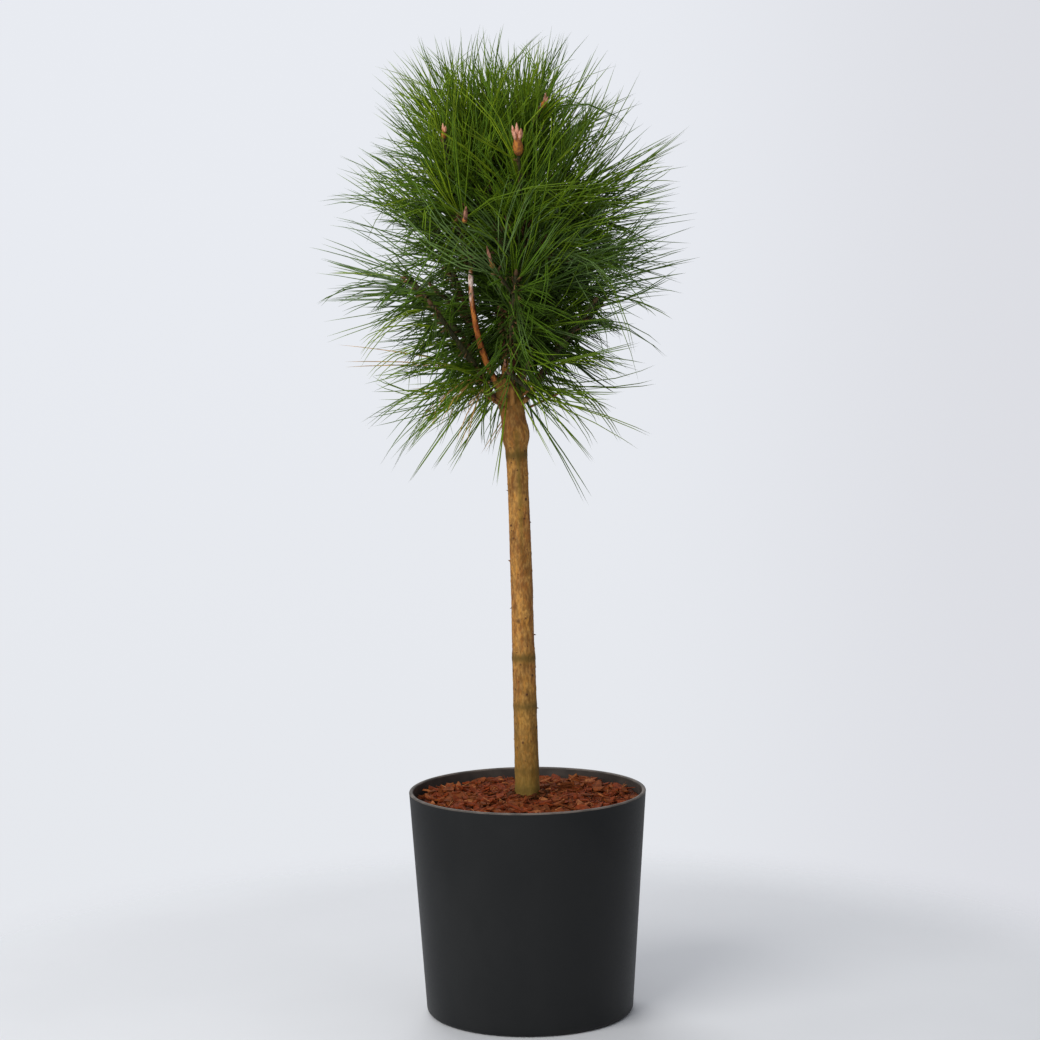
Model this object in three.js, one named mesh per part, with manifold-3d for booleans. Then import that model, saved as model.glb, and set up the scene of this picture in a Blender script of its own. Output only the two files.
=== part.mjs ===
import * as THREE from "three";
import { mergeVertices } from "three/addons/utils/BufferGeometryUtils.js";
import Module from "manifold-3d";

// A long-needled pine grown as a small standard: a clean, slightly leaning trunk in a plain tapered pot,
// forking into boughs that carry a round head of needles. Millimetres, +Z up, with the origin at the
// middle of the pot's flat underside. -Y is the front.

const wasm = await Module();
wasm.setup();

// Driving dimensions
const CLEAR = 0.3; // gap between pieces that touch
const POT = { height: 180, rimRadius: 95, baseRadius: 83, wall: 3, edge: 1.2, sides: 48 };
const SOIL_TOP = 158;
const MULCH_TOP = 175; // where the trunk is cut flat
const MULCH_DISH = 3; // how much lower the mulch lies at the pot's wall
const CHIPS = { count: 24, length: [12, 26], width: [4, 8], thick: [2, 3.4] };
const TRUNK = {
  foot: MULCH_TOP + CLEAR,
  top: 512,
  footRadius: 9.5,
  topRadius: 8.2,
  flare: 2.6,
  flareHeight: 11,
  lean: 5,
  kink: 8,
  collarHeight: 463,
  collar: 2.2,
  collarSpread: 9,
  head: 2, // how much wider it is above the collar
  headFrom: 452,
  headTo: 476,
};
// The crown's rounded outline: its axis, its widest height, its reach sideways, up and down, and how
// square its upper and lower halves are.
const CROWN = { x: -11, z: 606, side: 158, up: 183, down: 188, upPower: 2.4, downPower: 1.8 };
// Needles lean off their shoot by "lean" degrees, at its foot and at its tip, and are pulled outwards.
const NEEDLE = {
  longest: 97,
  shortest: 30,
  root: 2.2, // height of the face that it grows from
  halfRoot: 1.2,
  lean: [84, 34],
  pull: 0.22,
  tries: 7,
};
const BOUGH = { taper: 0.62, sides: 5, rings: 5, reach: 19 };
const STEM = { radius: 2.5, tip: 2, sides: 5, step: 8.4, bare: 0.1, twist: 34 };
const TWIG = { radius: 2.1, tip: 1.7, sides: 4, step: 7.6, bare: 0.2, twist: 40 };
const TWIG_LENGTHS = [46, 36, 26]; // the longest that has room is grown
const TWIG_SPLAY = 66;
const TWIG_PULL = 0.3;
const BUD = 8; // length of the pointed bud that ends a shoot
const GOLDEN = Math.PI * (3 - Math.sqrt(5));

// Rings of foliage masses: how many, and the turn of the first one in degrees from +X. A bough leaves the
// trunk at the height "from", "rise" degrees above level, with the radius "thick". "foot" and "tip" are
// where a mass's stem starts and ends, out from the crown's axis and up, and "stagger" lifts and lowers the
// masses of a ring in turn. The skirt has no boughs: its stems stand against the trunk, at their foot's
// height.
const RINGS = [
  {
    name: "top",
    count: 1,
    turn: 0,
    bough: { from: TRUNK.top + CLEAR, rise: 90, thick: 4.4 },
    foot: [0, 596],
    tip: [0, 694],
    stagger: 0,
  },
  {
    name: "upper",
    count: 6,
    turn: 45,
    bough: { from: 500, rise: 50, thick: 3.4 },
    foot: [39, 588],
    tip: [62, 648],
    stagger: 9,
  },
  {
    name: "lower",
    count: 7,
    turn: 18,
    bough: { from: 488, rise: 28, thick: 3.2 },
    foot: [36, 532],
    tip: [80, 580],
    stagger: 11,
  },
  {
    name: "skirt",
    count: 6,
    turn: 0,
    bough: null,
    foot: [0, 474],
    tip: [64, 496],
    stagger: 4,
  },
];
// The parting is a slot in the foliage in front of one bough, from this share of its length to its end.
const PARTING = { mass: "upper_4", foot: 0.3, halfWidth: 4.5 };

const radians = THREE.MathUtils.degToRad;
const mix = THREE.MathUtils.lerp;
const point = (x, y, z) => new THREE.Vector3(x, y, z);

// A fixed random number from 0 to 1 for each set of counters.
function chance(a, b, c) {
  const s = Math.sin(a * 12.9898 + b * 78.233 + c * 37.719) * 43758.5453;
  return s - Math.floor(s);
}

// A closed three.js geometry as a solid.
function solid(geometry) {
  const bare = new THREE.BufferGeometry()
    .setAttribute("position", geometry.attributes.position)
    .setIndex(geometry.index);
  const merged = mergeVertices(bare, 1e-4);
  return new wasm.Manifold(
    new wasm.Mesh({
      numProp: 3,
      vertProperties: merged.attributes.position.array,
      triVerts: new Uint32Array(merged.index.array),
    }),
  );
}

// The largest body of a solid, so that loose scraps and sealed hollows are left behind.
function largest(made) {
  return made.decompose().reduce((a, b) => (b.volume() > a.volume() ? b : a));
}

function geometryOf(made) {
  const { vertProperties, triVerts } = made.getMesh();
  return new THREE.BufferGeometry()
    .setAttribute("position", new THREE.BufferAttribute(vertProperties, 3))
    .setIndex(new THREE.BufferAttribute(triVerts, 1));
}

// A tapering limb: a cylinder whose rings are laid along a curve, with its radius a function of t.
function limbGeometry(curve, radiusAt, sides, rings) {
  const geometry = new THREE.CylinderGeometry(1, 1, 1, sides, rings);
  const frames = curve.computeFrenetFrames(rings, false);
  const position = geometry.attributes.position;
  for (let i = 0; i < position.count; i++) {
    const t = position.getY(i) + 0.5;
    const ring = Math.round(t * rings);
    const radius = radiusAt(t);
    const place = curve
      .getPointAt(t)
      .addScaledVector(frames.normals[ring], -position.getX(i) * radius)
      .addScaledVector(frames.binormals[ring], position.getZ(i) * radius);
    position.setXYZ(i, place.x, place.y, place.z);
  }
  return geometry;
}

// Pot, soil and mulch
const potRadiusAt = (z) => mix(POT.baseRadius, POT.rimRadius, z / POT.height);
const innerRadiusAt = (z) => potRadiusAt(z) - POT.wall;

function lathe(profile) {
  const points = profile.map(([r, z]) => new THREE.Vector2(r, z));
  return new THREE.LatheGeometry(points, POT.sides).rotateX(Math.PI / 2);
}

function potGeometry() {
  const { height, edge, wall } = POT;
  return lathe([
    [0, 0],
    [potRadiusAt(0) - edge, 0],
    [potRadiusAt(edge), edge],
    [potRadiusAt(height - edge), height - edge],
    [potRadiusAt(height) - edge, height],
    [innerRadiusAt(height) + edge / 2, height],
    [innerRadiusAt(height - edge), height - edge],
    [innerRadiusAt(wall), wall],
    [0, wall],
  ]);
}

function soilGeometry() {
  const floor = POT.wall + CLEAR;
  return lathe([
    [0, floor],
    [innerRadiusAt(floor) - CLEAR, floor],
    [innerRadiusAt(SOIL_TOP) - CLEAR, SOIL_TOP],
    [0, SOIL_TOP],
  ]);
}

// The mulch's upper surface: flat under the trunk, dished towards the wall.
const SEAT = 15;
function mulchTopAt(r) {
  const t = THREE.MathUtils.smoothstep(r, SEAT, POT.rimRadius - POT.wall);
  return MULCH_TOP - MULCH_DISH * t;
}

function mulchSolid() {
  const low = SOIL_TOP + CLEAR;
  const wallTop = MULCH_TOP - MULCH_DISH;
  const edge = innerRadiusAt(wallTop) - CLEAR;
  const steps = [edge, edge * 0.72, edge * 0.45, SEAT];
  const bed = lathe([
    [0, low],
    [innerRadiusAt(low) - CLEAR, low],
    ...steps.map((r) => [r, mulchTopAt(r)]),
    [0, MULCH_TOP],
  ]);
  const pieces = [solid(bed)];
  for (let i = 0; i < CHIPS.count; i++) {
    const length = mix(...CHIPS.length, chance(i, 1, 0));
    const reach = edge - 2 - length / 2;
    const clearOfTrunk = SEAT + length / 2;
    const r = mix(clearOfTrunk, reach, Math.sqrt((i + 0.5) / CHIPS.count));
    const turn = i * GOLDEN;
    const chip = new THREE.BoxGeometry(
      length,
      mix(...CHIPS.width, chance(i, 2, 0)),
      mix(...CHIPS.thick, chance(i, 3, 0)),
    );
    chip.rotateY(radians(mix(-14, 14, chance(i, 4, 0))));
    chip.rotateX(radians(mix(-12, 12, chance(i, 5, 0))));
    chip.rotateZ(2 * Math.PI * chance(i, 6, 0));
    chip.translate(r * Math.cos(turn), r * Math.sin(turn), mulchTopAt(r) + 0.6);
    pieces.push(solid(chip));
  }
  return largest(wasm.Manifold.union(pieces));
}

// Trunk
class TrunkLine extends THREE.Curve {
  getPoint(t, target = new THREE.Vector3()) {
    const x = -TRUNK.lean * t - TRUNK.kink * t ** 8;
    return target.set(x, 0, mix(TRUNK.foot, TRUNK.top, t));
  }
}
const trunkLine = new TrunkLine();

function trunkRadiusAt(t) {
  const z = mix(TRUNK.foot, TRUNK.top, t);
  const flare = TRUNK.flare * Math.exp(-(z - TRUNK.foot) / TRUNK.flareHeight);
  const collar = TRUNK.collar * Math.exp(-(((z - TRUNK.collarHeight) / TRUNK.collarSpread) ** 2));
  const head = TRUNK.head * THREE.MathUtils.smoothstep(z, TRUNK.headFrom, TRUNK.headTo);
  return mix(TRUNK.footRadius, TRUNK.topRadius, t) + flare + collar + head;
}

const TRUNK_RINGS = 24;
const TRUNK_SIDES = 12;
function trunkGeometry(extra) {
  return limbGeometry(trunkLine, (t) => trunkRadiusAt(t) + extra, TRUNK_SIDES, TRUNK_RINGS);
}

// The trunk's centre at a height.
function trunkCentre(z) {
  return trunkLine.getPoint((z - TRUNK.foot) / (TRUNK.top - TRUNK.foot));
}

// Crown
// The direction out of the crown at a place: the slope of its rounded form.
function outward(place) {
  const z = place.z - CROWN.z;
  const high = z > 0 ? CROWN.up : CROWN.down;
  return point(
    (place.x - CROWN.x) / CROWN.side ** 2,
    place.y / CROWN.side ** 2,
    z / high ** 2,
  ).normalize();
}

// How much of the crown's reach a place has used: 1 on its outline, less inside.
function share(place) {
  const z = place.z - CROWN.z;
  const power = z > 0 ? CROWN.upPower : CROWN.downPower;
  const high = z > 0 ? CROWN.up : CROWN.down;
  const across = Math.hypot(place.x - CROWN.x, place.y) / CROWN.side;
  return (across ** power + (Math.abs(z) / high) ** power) ** (1 / power);
}

// Where a stem that heads for a tip stands against the trunk. Its foot is square to it, so its upper edge
// comes nearest to the bark.
function againstTrunk(z, along, tip) {
  const upperEdge = z + STEM.radius;
  const t = (upperEdge - TRUNK.foot) / (TRUNK.top - TRUNK.foot);
  const side = trunkCentre(upperEdge).addScaledVector(along, trunkRadiusAt(t)).setZ(z);
  const slope = tip.clone().sub(side).normalize().z;
  return side.addScaledVector(along, STEM.radius * slope);
}

// Every mass with its number, the foot and tip of its stem, and the heart of its space between them. The
// masses of a ring stand higher and lower in turn.
const masses = RINGS.flatMap((ring) =>
  Array.from({ length: ring.count }, (_, k) => {
    const angle = radians(ring.turn + (360 * k) / ring.count);
    const along = point(Math.cos(angle), Math.sin(angle), 0);
    const rise = k % 2 ? ring.stagger : -ring.stagger;
    const place = ([out, high]) => along.clone().multiplyScalar(out).add(point(CROWN.x, 0, high + rise));
    const name = ring.count > 1 ? ring.name + "_" + (k + 1) : ring.name;
    const tip = place(ring.tip);
    const foot = ring.bough ? place(ring.foot) : againstTrunk(ring.foot[1] + rise, along, tip);
    return { name, ring, along, foot, tip, heart: foot.clone().lerp(tip, 0.5) };
  }),
);
masses.forEach((mass, i) => (mass.number = i + 1));

// Boughs
// A bough leaves the trunk's side at its own slope and ends in line with the stem that goes on from it.
function boughCurve(mass) {
  const { from, rise } = mass.ring.bough;
  const slope = radians(rise);
  const start = trunkCentre(from).addScaledVector(mass.along, from < TRUNK.top ? TRUNK.topRadius - 2 : 0);
  const first = start.clone().addScaledVector(mass.along, BOUGH.reach * Math.cos(slope));
  first.z += BOUGH.reach * Math.sin(slope);
  const last = mass.foot.clone().addScaledVector(mass.tip.clone().sub(mass.foot).normalize(), -BOUGH.reach);
  return new THREE.CubicBezierCurve3(start, first, last, mass.foot);
}

const boughRadiusAt = (mass) => (t) => mass.ring.bough.thick * mix(1, BOUGH.taper, t);

// The limbs as short straight stretches, which foliage keeps clear of. The last stretch of a bough carries
// its mass.
function stretches(curve, radiusAt, count, mass) {
  return Array.from({ length: count }, (_, i) => ({
    a: curve.getPointAt(i / count),
    b: curve.getPointAt((i + 1) / count),
    radius: radiusAt(i / count),
    carries: i === count - 1 ? mass : null,
  }));
}

const trunkHole = solid(trunkGeometry(CLEAR));
const limbs = stretches(trunkLine, trunkRadiusAt, 2 * TRUNK_RINGS, null);
const boughs = masses
  .filter((mass) => mass.ring.bough)
  .map((mass) => {
    const curve = boughCurve(mass);
    limbs.push(...stretches(curve, boughRadiusAt(mass), 2 * BOUGH.rings, mass));
    const whole = solid(limbGeometry(curve, boughRadiusAt(mass), BOUGH.sides, BOUGH.rings));
    return { name: "bough_" + mass.name, solid: largest(whole.subtract(trunkHole)) };
  });

const parted = masses.find((mass) => mass.name === PARTING.mass);
const partingFoot = boughCurve(parted).getPointAt(PARTING.foot);

// Shortest distance between the segments p-q and a-b, and how far along each it lies.
function nearest(p, q, a, b) {
  const d1 = q.clone().sub(p);
  const d2 = b.clone().sub(a);
  const r = p.clone().sub(a);
  const dd1 = d1.dot(d1);
  const dd2 = d2.dot(d2);
  const c = d1.dot(r);
  const f = d2.dot(r);
  const m = d1.dot(d2);
  const den = dd1 * dd2 - m * m;
  let s = den > 1e-9 ? THREE.MathUtils.clamp((m * f - c * dd2) / den, 0, 1) : 0;
  let t = THREE.MathUtils.clamp((m * s + f) / dd2, 0, 1);
  s = THREE.MathUtils.clamp((m * t - c) / dd1, 0, 1);
  t = THREE.MathUtils.clamp((m * s + f) / dd2, 0, 1);
  return { gap: p.clone().addScaledVector(d1, s).distanceTo(a.clone().addScaledVector(d2, t)), s, t };
}

// Whether a place lies in a mass's own space, this far inside its borders: nearer to its heart than to any
// other.
function inSpace(mass, place, margin) {
  return masses.every((other) => {
    if (other === mass) return true;
    const between = other.heart.clone().sub(mass.heart);
    const border = other.heart.clone().add(mass.heart).multiplyScalar(0.5);
    return place.clone().sub(border).dot(between) < -margin * between.length();
  });
}

// Whether a place lies in the parting, the upright slot that opens the crown in front of the parted bough.
function inParting(place) {
  const t = (place.z - partingFoot.z) / (parted.foot.z - partingFoot.z);
  const line = partingFoot.clone().lerp(parted.foot, t);
  const inFront = place.y < line.y - PARTING.halfWidth;
  return t > 0 && t < 1 && inFront && Math.abs(place.x - line.x) < PARTING.halfWidth;
}

// Whether a straight piece keeps clear of the trunk, the boughs and the parting.
function isFree(mass, p, q, radius) {
  const inSlot = [0.25, 0.5, 0.75, 1].some((t) => inParting(p.clone().lerp(q, t)));
  const touches = ({ a, b, ...limb }) => nearest(p, q, a, b).gap < limb.radius + radius + CLEAR;
  return !inSlot && !limbs.some((limb) => limb.carries !== mass && touches(limb));
}

// A straight shoot: plain bands with whorls between them, short bands whose faces carry the needles, each
// turned on from the one before. "across" is the direction of its first corner.
class Shoot {
  constructor(from, axis, length, across, form, number) {
    Object.assign(this, { from, axis, length, across, form, number });
    this.to = from.clone().addScaledVector(axis, length);
    this.whorls = Math.round((length * (1 - form.bare)) / form.step);
    this.bands = 2 * this.whorls + 1;
    this.twigs = [];
  }
  heightAt(line) {
    if (line === 0) return 0;
    if (line === this.bands) return this.length;
    const middle = mix(this.form.bare, 1, (Math.floor((line - 1) / 2) + 0.5) / this.whorls);
    return middle * this.length + (line % 2 ? -0.5 : 0.5) * NEEDLE.root;
  }
  cornerAt(line, i) {
    const turn = (i * 360) / this.form.sides + Math.max(0, Math.floor((line - 1) / 2)) * this.form.twist;
    const height = this.heightAt(line);
    return this.from
      .clone()
      .addScaledVector(this.axis, height)
      .addScaledVector(
        this.across.clone().applyAxisAngle(this.axis, radians(turn)),
        mix(this.form.radius, this.form.tip, height / this.length),
      );
  }
  faceAt(band, i) {
    const corners = [this.cornerAt(band, i), this.cornerAt(band, i + 1)];
    corners.push(this.cornerAt(band + 1, i + 1), this.cornerAt(band + 1, i));
    const middle = corners.reduce((sum, corner) => sum.add(corner), point()).multiplyScalar(0.25);
    return { corners, middle, side: middle.clone().sub(this.from).projectOnPlane(this.axis).normalize() };
  }
}

// A mass while it grows: its corners and triangles, and the lines of its shoots and needles.
class Growth {
  constructor(mass) {
    Object.assign(this, { mass, corners: [], triangles: [], needles: [], shoots: [] });
  }
  corner(place) {
    return this.corners.push(place) - 1;
  }
  close(loop) {
    for (let i = 2; i < loop.length; i++) this.triangles.push(loop[0], loop[i - 1], loop[i]);
  }
  drawOut(loop, tip) {
    const end = this.corner(tip);
    loop.forEach((corner, i) => this.triangles.push(corner, loop[(i + 1) % loop.length], end));
  }
  geometry() {
    const places = new Float32Array(this.corners.flatMap((place) => place.toArray()));
    return new THREE.BufferGeometry()
      .setAttribute("position", new THREE.BufferAttribute(places, 3))
      .setIndex(this.triangles);
  }
}

// Whether a needle runs clear of the needles of other whorls and of other shoots.
function isApart(growth, needle) {
  const { foot, tip, shoot, band } = needle;
  const crosses = (other) => {
    if (other.shoot === shoot && other.band === band) return false;
    const { gap, s, t } = nearest(foot, tip, other.foot, other.tip);
    return gap < NEEDLE.halfRoot * (2 - s - t) + 0.1;
  };
  const hits = (other) =>
    other !== shoot && nearest(foot, tip, other.from, other.to).gap < other.form.radius + NEEDLE.halfRoot;
  return !growth.needles.some(crosses) && !growth.shoots.some(hits);
}

// The needle that grows from a face of a shoot. It leans off the shoot less towards the shoot's end. Each
// try is pulled further outwards and shortened to keep inside the crown and its mass's own space.
// Nothing grows where no try has room.
function needleFrom(growth, shoot, band, i) {
  const { mass } = growth;
  const { middle: foot, side } = shoot.faceAt(band, i);
  const out = outward(foot);
  const across = shoot.axis.clone().cross(side);
  for (let attempt = 0; attempt < NEEDLE.tries; attempt++) {
    const dice = (k) => chance(100 * mass.number + shoot.number, 10 * band + i, 10 * attempt + k);
    const lean = radians(mix(...NEEDLE.lean, shoot.heightAt(band) / shoot.length) + mix(-8, 8, dice(1)));
    const direction = side
      .clone()
      .multiplyScalar(Math.sin(lean))
      .addScaledVector(shoot.axis, Math.cos(lean))
      .addScaledVector(across, mix(-0.25, 0.25, dice(2)))
      .addScaledVector(out, NEEDLE.pull * (attempt + 1))
      .normalize();
    const reach = mix(0.87, 1, dice(3));
    let length = NEEDLE.longest * mix(0.85, 1, dice(4));
    const tipAt = () => foot.clone().addScaledVector(direction, length);
    const fits = () => share(tipAt()) < reach && inSpace(mass, tipAt(), CLEAR);
    while (length > NEEDLE.shortest && !fits()) length -= 3;
    const needle = { foot, tip: tipAt(), shoot, band };
    const near = foot.clone().addScaledVector(direction, 1);
    const leaves = direction.dot(out) > -0.1 && direction.dot(side) > 0.12;
    const hasRoom = leaves && fits() && inSpace(mass, near, NEEDLE.root);
    const touchesNone = hasRoom && isFree(mass, near, needle.tip, NEEDLE.halfRoot) && isApart(growth, needle);
    if (touchesNone) return needle;
  }
  return null;
}

// Grows a shoot from its mouth, a loop of corners, up to its pointed bud.
function growShoot(growth, shoot, mouth) {
  const { sides } = shoot.form;
  let loop = mouth;
  for (let band = 0; band < shoot.bands; band++) {
    const next = loop.map((_, i) => growth.corner(shoot.cornerAt(band + 1, i)));
    for (let i = 0; i < sides; i++) {
      const face = [loop[i], loop[(i + 1) % sides], next[(i + 1) % sides], next[i]];
      const twig = shoot.twigs.find((other) => other.band === band && other.face === i);
      const needle = band % 2 === 1 && needleFrom(growth, shoot, band, i);
      if (twig) growShoot(growth, twig.shoot, face);
      else if (needle) {
        growth.needles.push(needle);
        growth.drawOut(face, needle.tip);
      } else growth.close(face);
    }
    loop = next;
  }
  growth.drawOut(loop, shoot.to.clone().addScaledVector(shoot.axis, BUD));
}

// The twig that leaves a face of a stem, or nothing where none has room.
function twigFrom(mass, stem, band, i) {
  const { corners, middle, side } = stem.faceAt(band, i);
  const splay = radians(TWIG_SPLAY + mix(-8, 8, chance(mass.number, band, 51)));
  const heading = side
    .clone()
    .multiplyScalar(Math.sin(splay))
    .addScaledVector(stem.axis, Math.cos(splay))
    .addScaledVector(outward(middle), TWIG_PULL)
    .normalize();
  const across = corners[0].clone().sub(middle).projectOnPlane(heading).normalize();
  const near = middle.clone().addScaledVector(heading, 2 * TWIG.radius);
  const margin = 2 * TWIG.radius;
  const hasRoom = ({ to }) =>
    inSpace(mass, to, margin) && inSpace(mass, near, margin) && isFree(mass, near, to, TWIG.radius);
  return TWIG_LENGTHS.map((length) => new Shoot(middle, heading, length, across, TWIG, band)).find(hasRoom);
}

// A mass: one stem that goes on from its bough, twigs that leave its plain bands in a spiral, and needles.
function massGeometry(mass) {
  const growth = new Growth(mass);
  const axis = mass.tip.clone().sub(mass.foot).normalize();
  const start = mass.foot.clone().addScaledVector(axis, CLEAR + 0.05);
  const across = axis.clone().cross(point(0, 1, 0)).normalize();
  const stem = new Shoot(start, axis, start.distanceTo(mass.tip), across, STEM, 0);
  growth.shoots.push(stem);
  for (let band = 2; band < stem.bands - 1; band += 2) {
    const face = band % STEM.sides;
    const twig = twigFrom(mass, stem, band, face);
    if (!twig) continue;
    stem.twigs.push({ band, face, shoot: twig });
    growth.shoots.push(twig);
  }
  const foot = Array.from({ length: STEM.sides }, (_, i) => growth.corner(stem.cornerAt(0, i)));
  growth.close(foot.toReversed());
  growShoot(growth, stem, foot);
  return growth.geometry();
}

// Materials
const material = (color, roughness) => new THREE.MeshStandardMaterial({ color, roughness, metalness: 0 });
const MATERIALS = {
  pot: material(0x26282a, 0.55),
  soil: material(0x2e1c12, 1),
  mulch: material(0x7a3a20, 0.95),
  trunk: material(0xa9763c, 0.85),
  bough: material(0x8a4a22, 0.8),
  needles: material(0x3f6420, 0.5),
};

const plant = new THREE.Group();
function add(name, geometry, finish) {
  const mesh = new THREE.Mesh(geometry, MATERIALS[finish]);
  mesh.name = name;
  plant.add(mesh);
}

add("pot", potGeometry(), "pot");
add("soil", soilGeometry(), "soil");
add("mulch", geometryOf(mulchSolid()), "mulch");
add("trunk", trunkGeometry(0), "trunk");
for (const bough of boughs) add(bough.name, geometryOf(bough.solid), "bough");
for (const mass of masses) add("needles_" + mass.name, massGeometry(mass), "needles");

export default plant;
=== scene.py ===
# %% [markdown]
# # A small pine grown as a standard, in its pot
#
# The real plant is a bare, slightly leaning trunk in a black pot, with a round head of long needles. The
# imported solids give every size. This scene dresses them: it turns the pot, strews the mulch, carves the
# bark and grows the needles on from the same limbs, each part in its own cell.

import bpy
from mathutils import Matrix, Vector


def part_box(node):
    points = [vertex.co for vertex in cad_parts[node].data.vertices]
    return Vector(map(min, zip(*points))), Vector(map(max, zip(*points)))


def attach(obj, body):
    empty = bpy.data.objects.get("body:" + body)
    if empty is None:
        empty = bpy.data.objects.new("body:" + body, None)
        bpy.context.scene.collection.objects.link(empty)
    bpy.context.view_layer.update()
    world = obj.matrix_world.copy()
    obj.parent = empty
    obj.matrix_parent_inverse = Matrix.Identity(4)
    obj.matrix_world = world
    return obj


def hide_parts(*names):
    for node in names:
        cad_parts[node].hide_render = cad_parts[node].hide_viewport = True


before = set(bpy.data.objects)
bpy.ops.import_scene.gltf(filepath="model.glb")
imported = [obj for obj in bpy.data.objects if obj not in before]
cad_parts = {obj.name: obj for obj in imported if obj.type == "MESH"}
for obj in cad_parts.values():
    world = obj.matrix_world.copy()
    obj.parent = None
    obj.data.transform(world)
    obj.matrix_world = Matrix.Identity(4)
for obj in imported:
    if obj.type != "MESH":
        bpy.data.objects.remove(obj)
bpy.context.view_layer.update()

# %% Blender's own modules, and numpy for the shapes
import math

import bpy
import numpy as np
from mathutils import Matrix, Vector

MM = 0.001  # shapes below are worked out in millimetres, as the plant was measured
DICE = np.random.default_rng(11)
GOLDEN = math.pi * (3 - math.sqrt(5))  # the angle by which leaves and needles turn on, in radians


def unit(vectors):
    """Vectors of the same directions and of length 1."""
    return vectors / np.linalg.norm(vectors, axis=-1, keepdims=True)


def mix(low, high, share):
    """The value that lies this share of the way from low to high."""
    return low + (high - low) * share


def smooth_step(value, low, high):
    """0 below low, 1 above high, and 3 t t - 2 t t t between."""
    t = np.clip((value - low) / (high - low), 0, 1)
    return t * t * (3 - 2 * t)


def falling(value, low, high):
    """The smooth step the other way: 1 below low and 0 above high."""
    return smooth_step(-value, -high, -low)


def bell(value, middle, spread):
    """exp(-d d), with d the distance from the middle in spreads."""
    return np.exp(-(((value - middle) / spread) ** 2))


def xyz(x, y, z):
    """Places or directions from their three parts, each of them a number or an array."""
    return np.stack(np.broadcast_arrays(x, y, z), -1)


def full_turn(count):
    """The angles of so many equal steps round a circle."""
    return 2 * np.pi * np.arange(count) / count


def placed(name, data):
    """A new object in the scene, at the origin, unturned and unscaled."""
    made = bpy.data.objects.new(name, data)
    bpy.context.scene.collection.objects.link(made)
    return made


# %% [markdown]
# ## Camera and studio
#
# The photograph looks at the plant from a little above the crown's middle, with a long lens. A camera was
# fitted to the round rim and foot of the pot, so its place and lens are real sizes. The studio is a pale
# floor that fades into a pale sky. A large soft light stands at the left and a weak one in front, and a
# third behind picks out the needles.

# %% The camera
CAMERA = {"place": (-3.2, -2088.0, 602.0), "lens": 91.45, "pitch": 5.61, "roll": 0.742}


def make_camera():
    """A camera that looks along +Y, pitched down and rolled by a hair about its own line of sight."""
    camera = placed("camera", bpy.data.cameras.new("camera"))
    camera.data.lens = CAMERA["lens"]
    pitch = Matrix.Rotation(math.radians(90 - CAMERA["pitch"]), 4, "X")
    roll = Matrix.Rotation(math.radians(-CAMERA["roll"]), 4, "Z")
    camera.matrix_world = Matrix.Translation(Vector(CAMERA["place"]) * MM) @ pitch @ roll
    return camera


bpy.context.scene.camera = make_camera()

# %% Soft lights, each aimed at the middle of the plant
MIDDLE = Vector((0, 0, 0.42))
LIGHTS = {
    "key": {"place": (-1.6, -1.8, 1.6), "size": 2.0, "watts": 60, "tint": (1.0, 0.98, 0.93)},
    "fill": {"place": (-0.7, -2.3, 0.9), "size": 1.4, "watts": 7, "tint": (0.98, 0.98, 1.0)},
    "back": {"place": (-0.4, 1.7, 2.0), "size": 1.2, "watts": 22, "tint": (1.0, 1.0, 1.0)},
}
for name, light in LIGHTS.items():
    lamp = bpy.data.lights.new(name, "AREA")
    lamp.energy = light["watts"]
    lamp.size = light["size"]
    lamp.color = light["tint"]
    place = Vector(light["place"])
    aim = (MIDDLE - place).to_track_quat("-Z", "Y").to_matrix().to_4x4()
    placed(name, lamp).matrix_world = Matrix.Translation(place) @ aim
print("lights:", ", ".join(LIGHTS))


# %% A short way to write shader nodes
def node(tree, kind, options=None, **inputs):
    """Adds a node. Each input takes a number, a colour or the output of another node."""
    made = tree.nodes.new(kind)
    for name, value in (options or {}).items():
        setattr(made, name, value)
    for name, value in inputs.items():
        fill(tree, made.inputs[name.replace("_", " ")], value)
    return made


def fill(tree, socket, value):
    """Sets a socket to a value, or links an output to it."""
    if isinstance(value, bpy.types.NodeSocket):
        tree.links.new(value, socket)
    elif hasattr(value, "__len__") and len(value) == 3 and len(socket.default_value) == 4:
        socket.default_value = (*value, 1)
    else:
        socket.default_value = value


def blend(tree, share, first, second):
    """The colour between two colours, by a share that may be another node's output."""
    mixer = node(tree, "ShaderNodeMix", {"data_type": "RGBA"})
    for index, value in zip((0, 6, 7), (share, first, second)):
        fill(tree, mixer.inputs[index], value)
    return mixer.outputs[2]


def times(tree, first, second):
    """The product of two numbers or outputs."""
    made = node(tree, "ShaderNodeMath", {"operation": "MULTIPLY"})
    fill(tree, made.inputs[0], first)
    fill(tree, made.inputs[1], second)
    return made.outputs[0]


def ramp(tree, value, low, high, start=0.0, end=1.0):
    """The value carried from the range low to high over to the range start to end, and held inside it."""
    made = node(tree, "ShaderNodeMapRange", {"interpolation_type": "SMOOTHSTEP"}, Value=value)
    for socket, number in zip(("From Min", "From Max", "To Min", "To Max"), (low, high, start, end)):
        fill(tree, made.inputs[socket], number)
    return made.outputs[0]


# %% The sky: pale to the camera, and weaker as a light so that the key light shapes the plant
SKY = {"high": (0.81, 0.832, 0.882), "low": (0.79, 0.81, 0.85), "right": (0.72, 0.73, 0.775)}
SKY |= {"glow": (0.94, 0.96, 1.0), "strength": 0.47}


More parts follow.
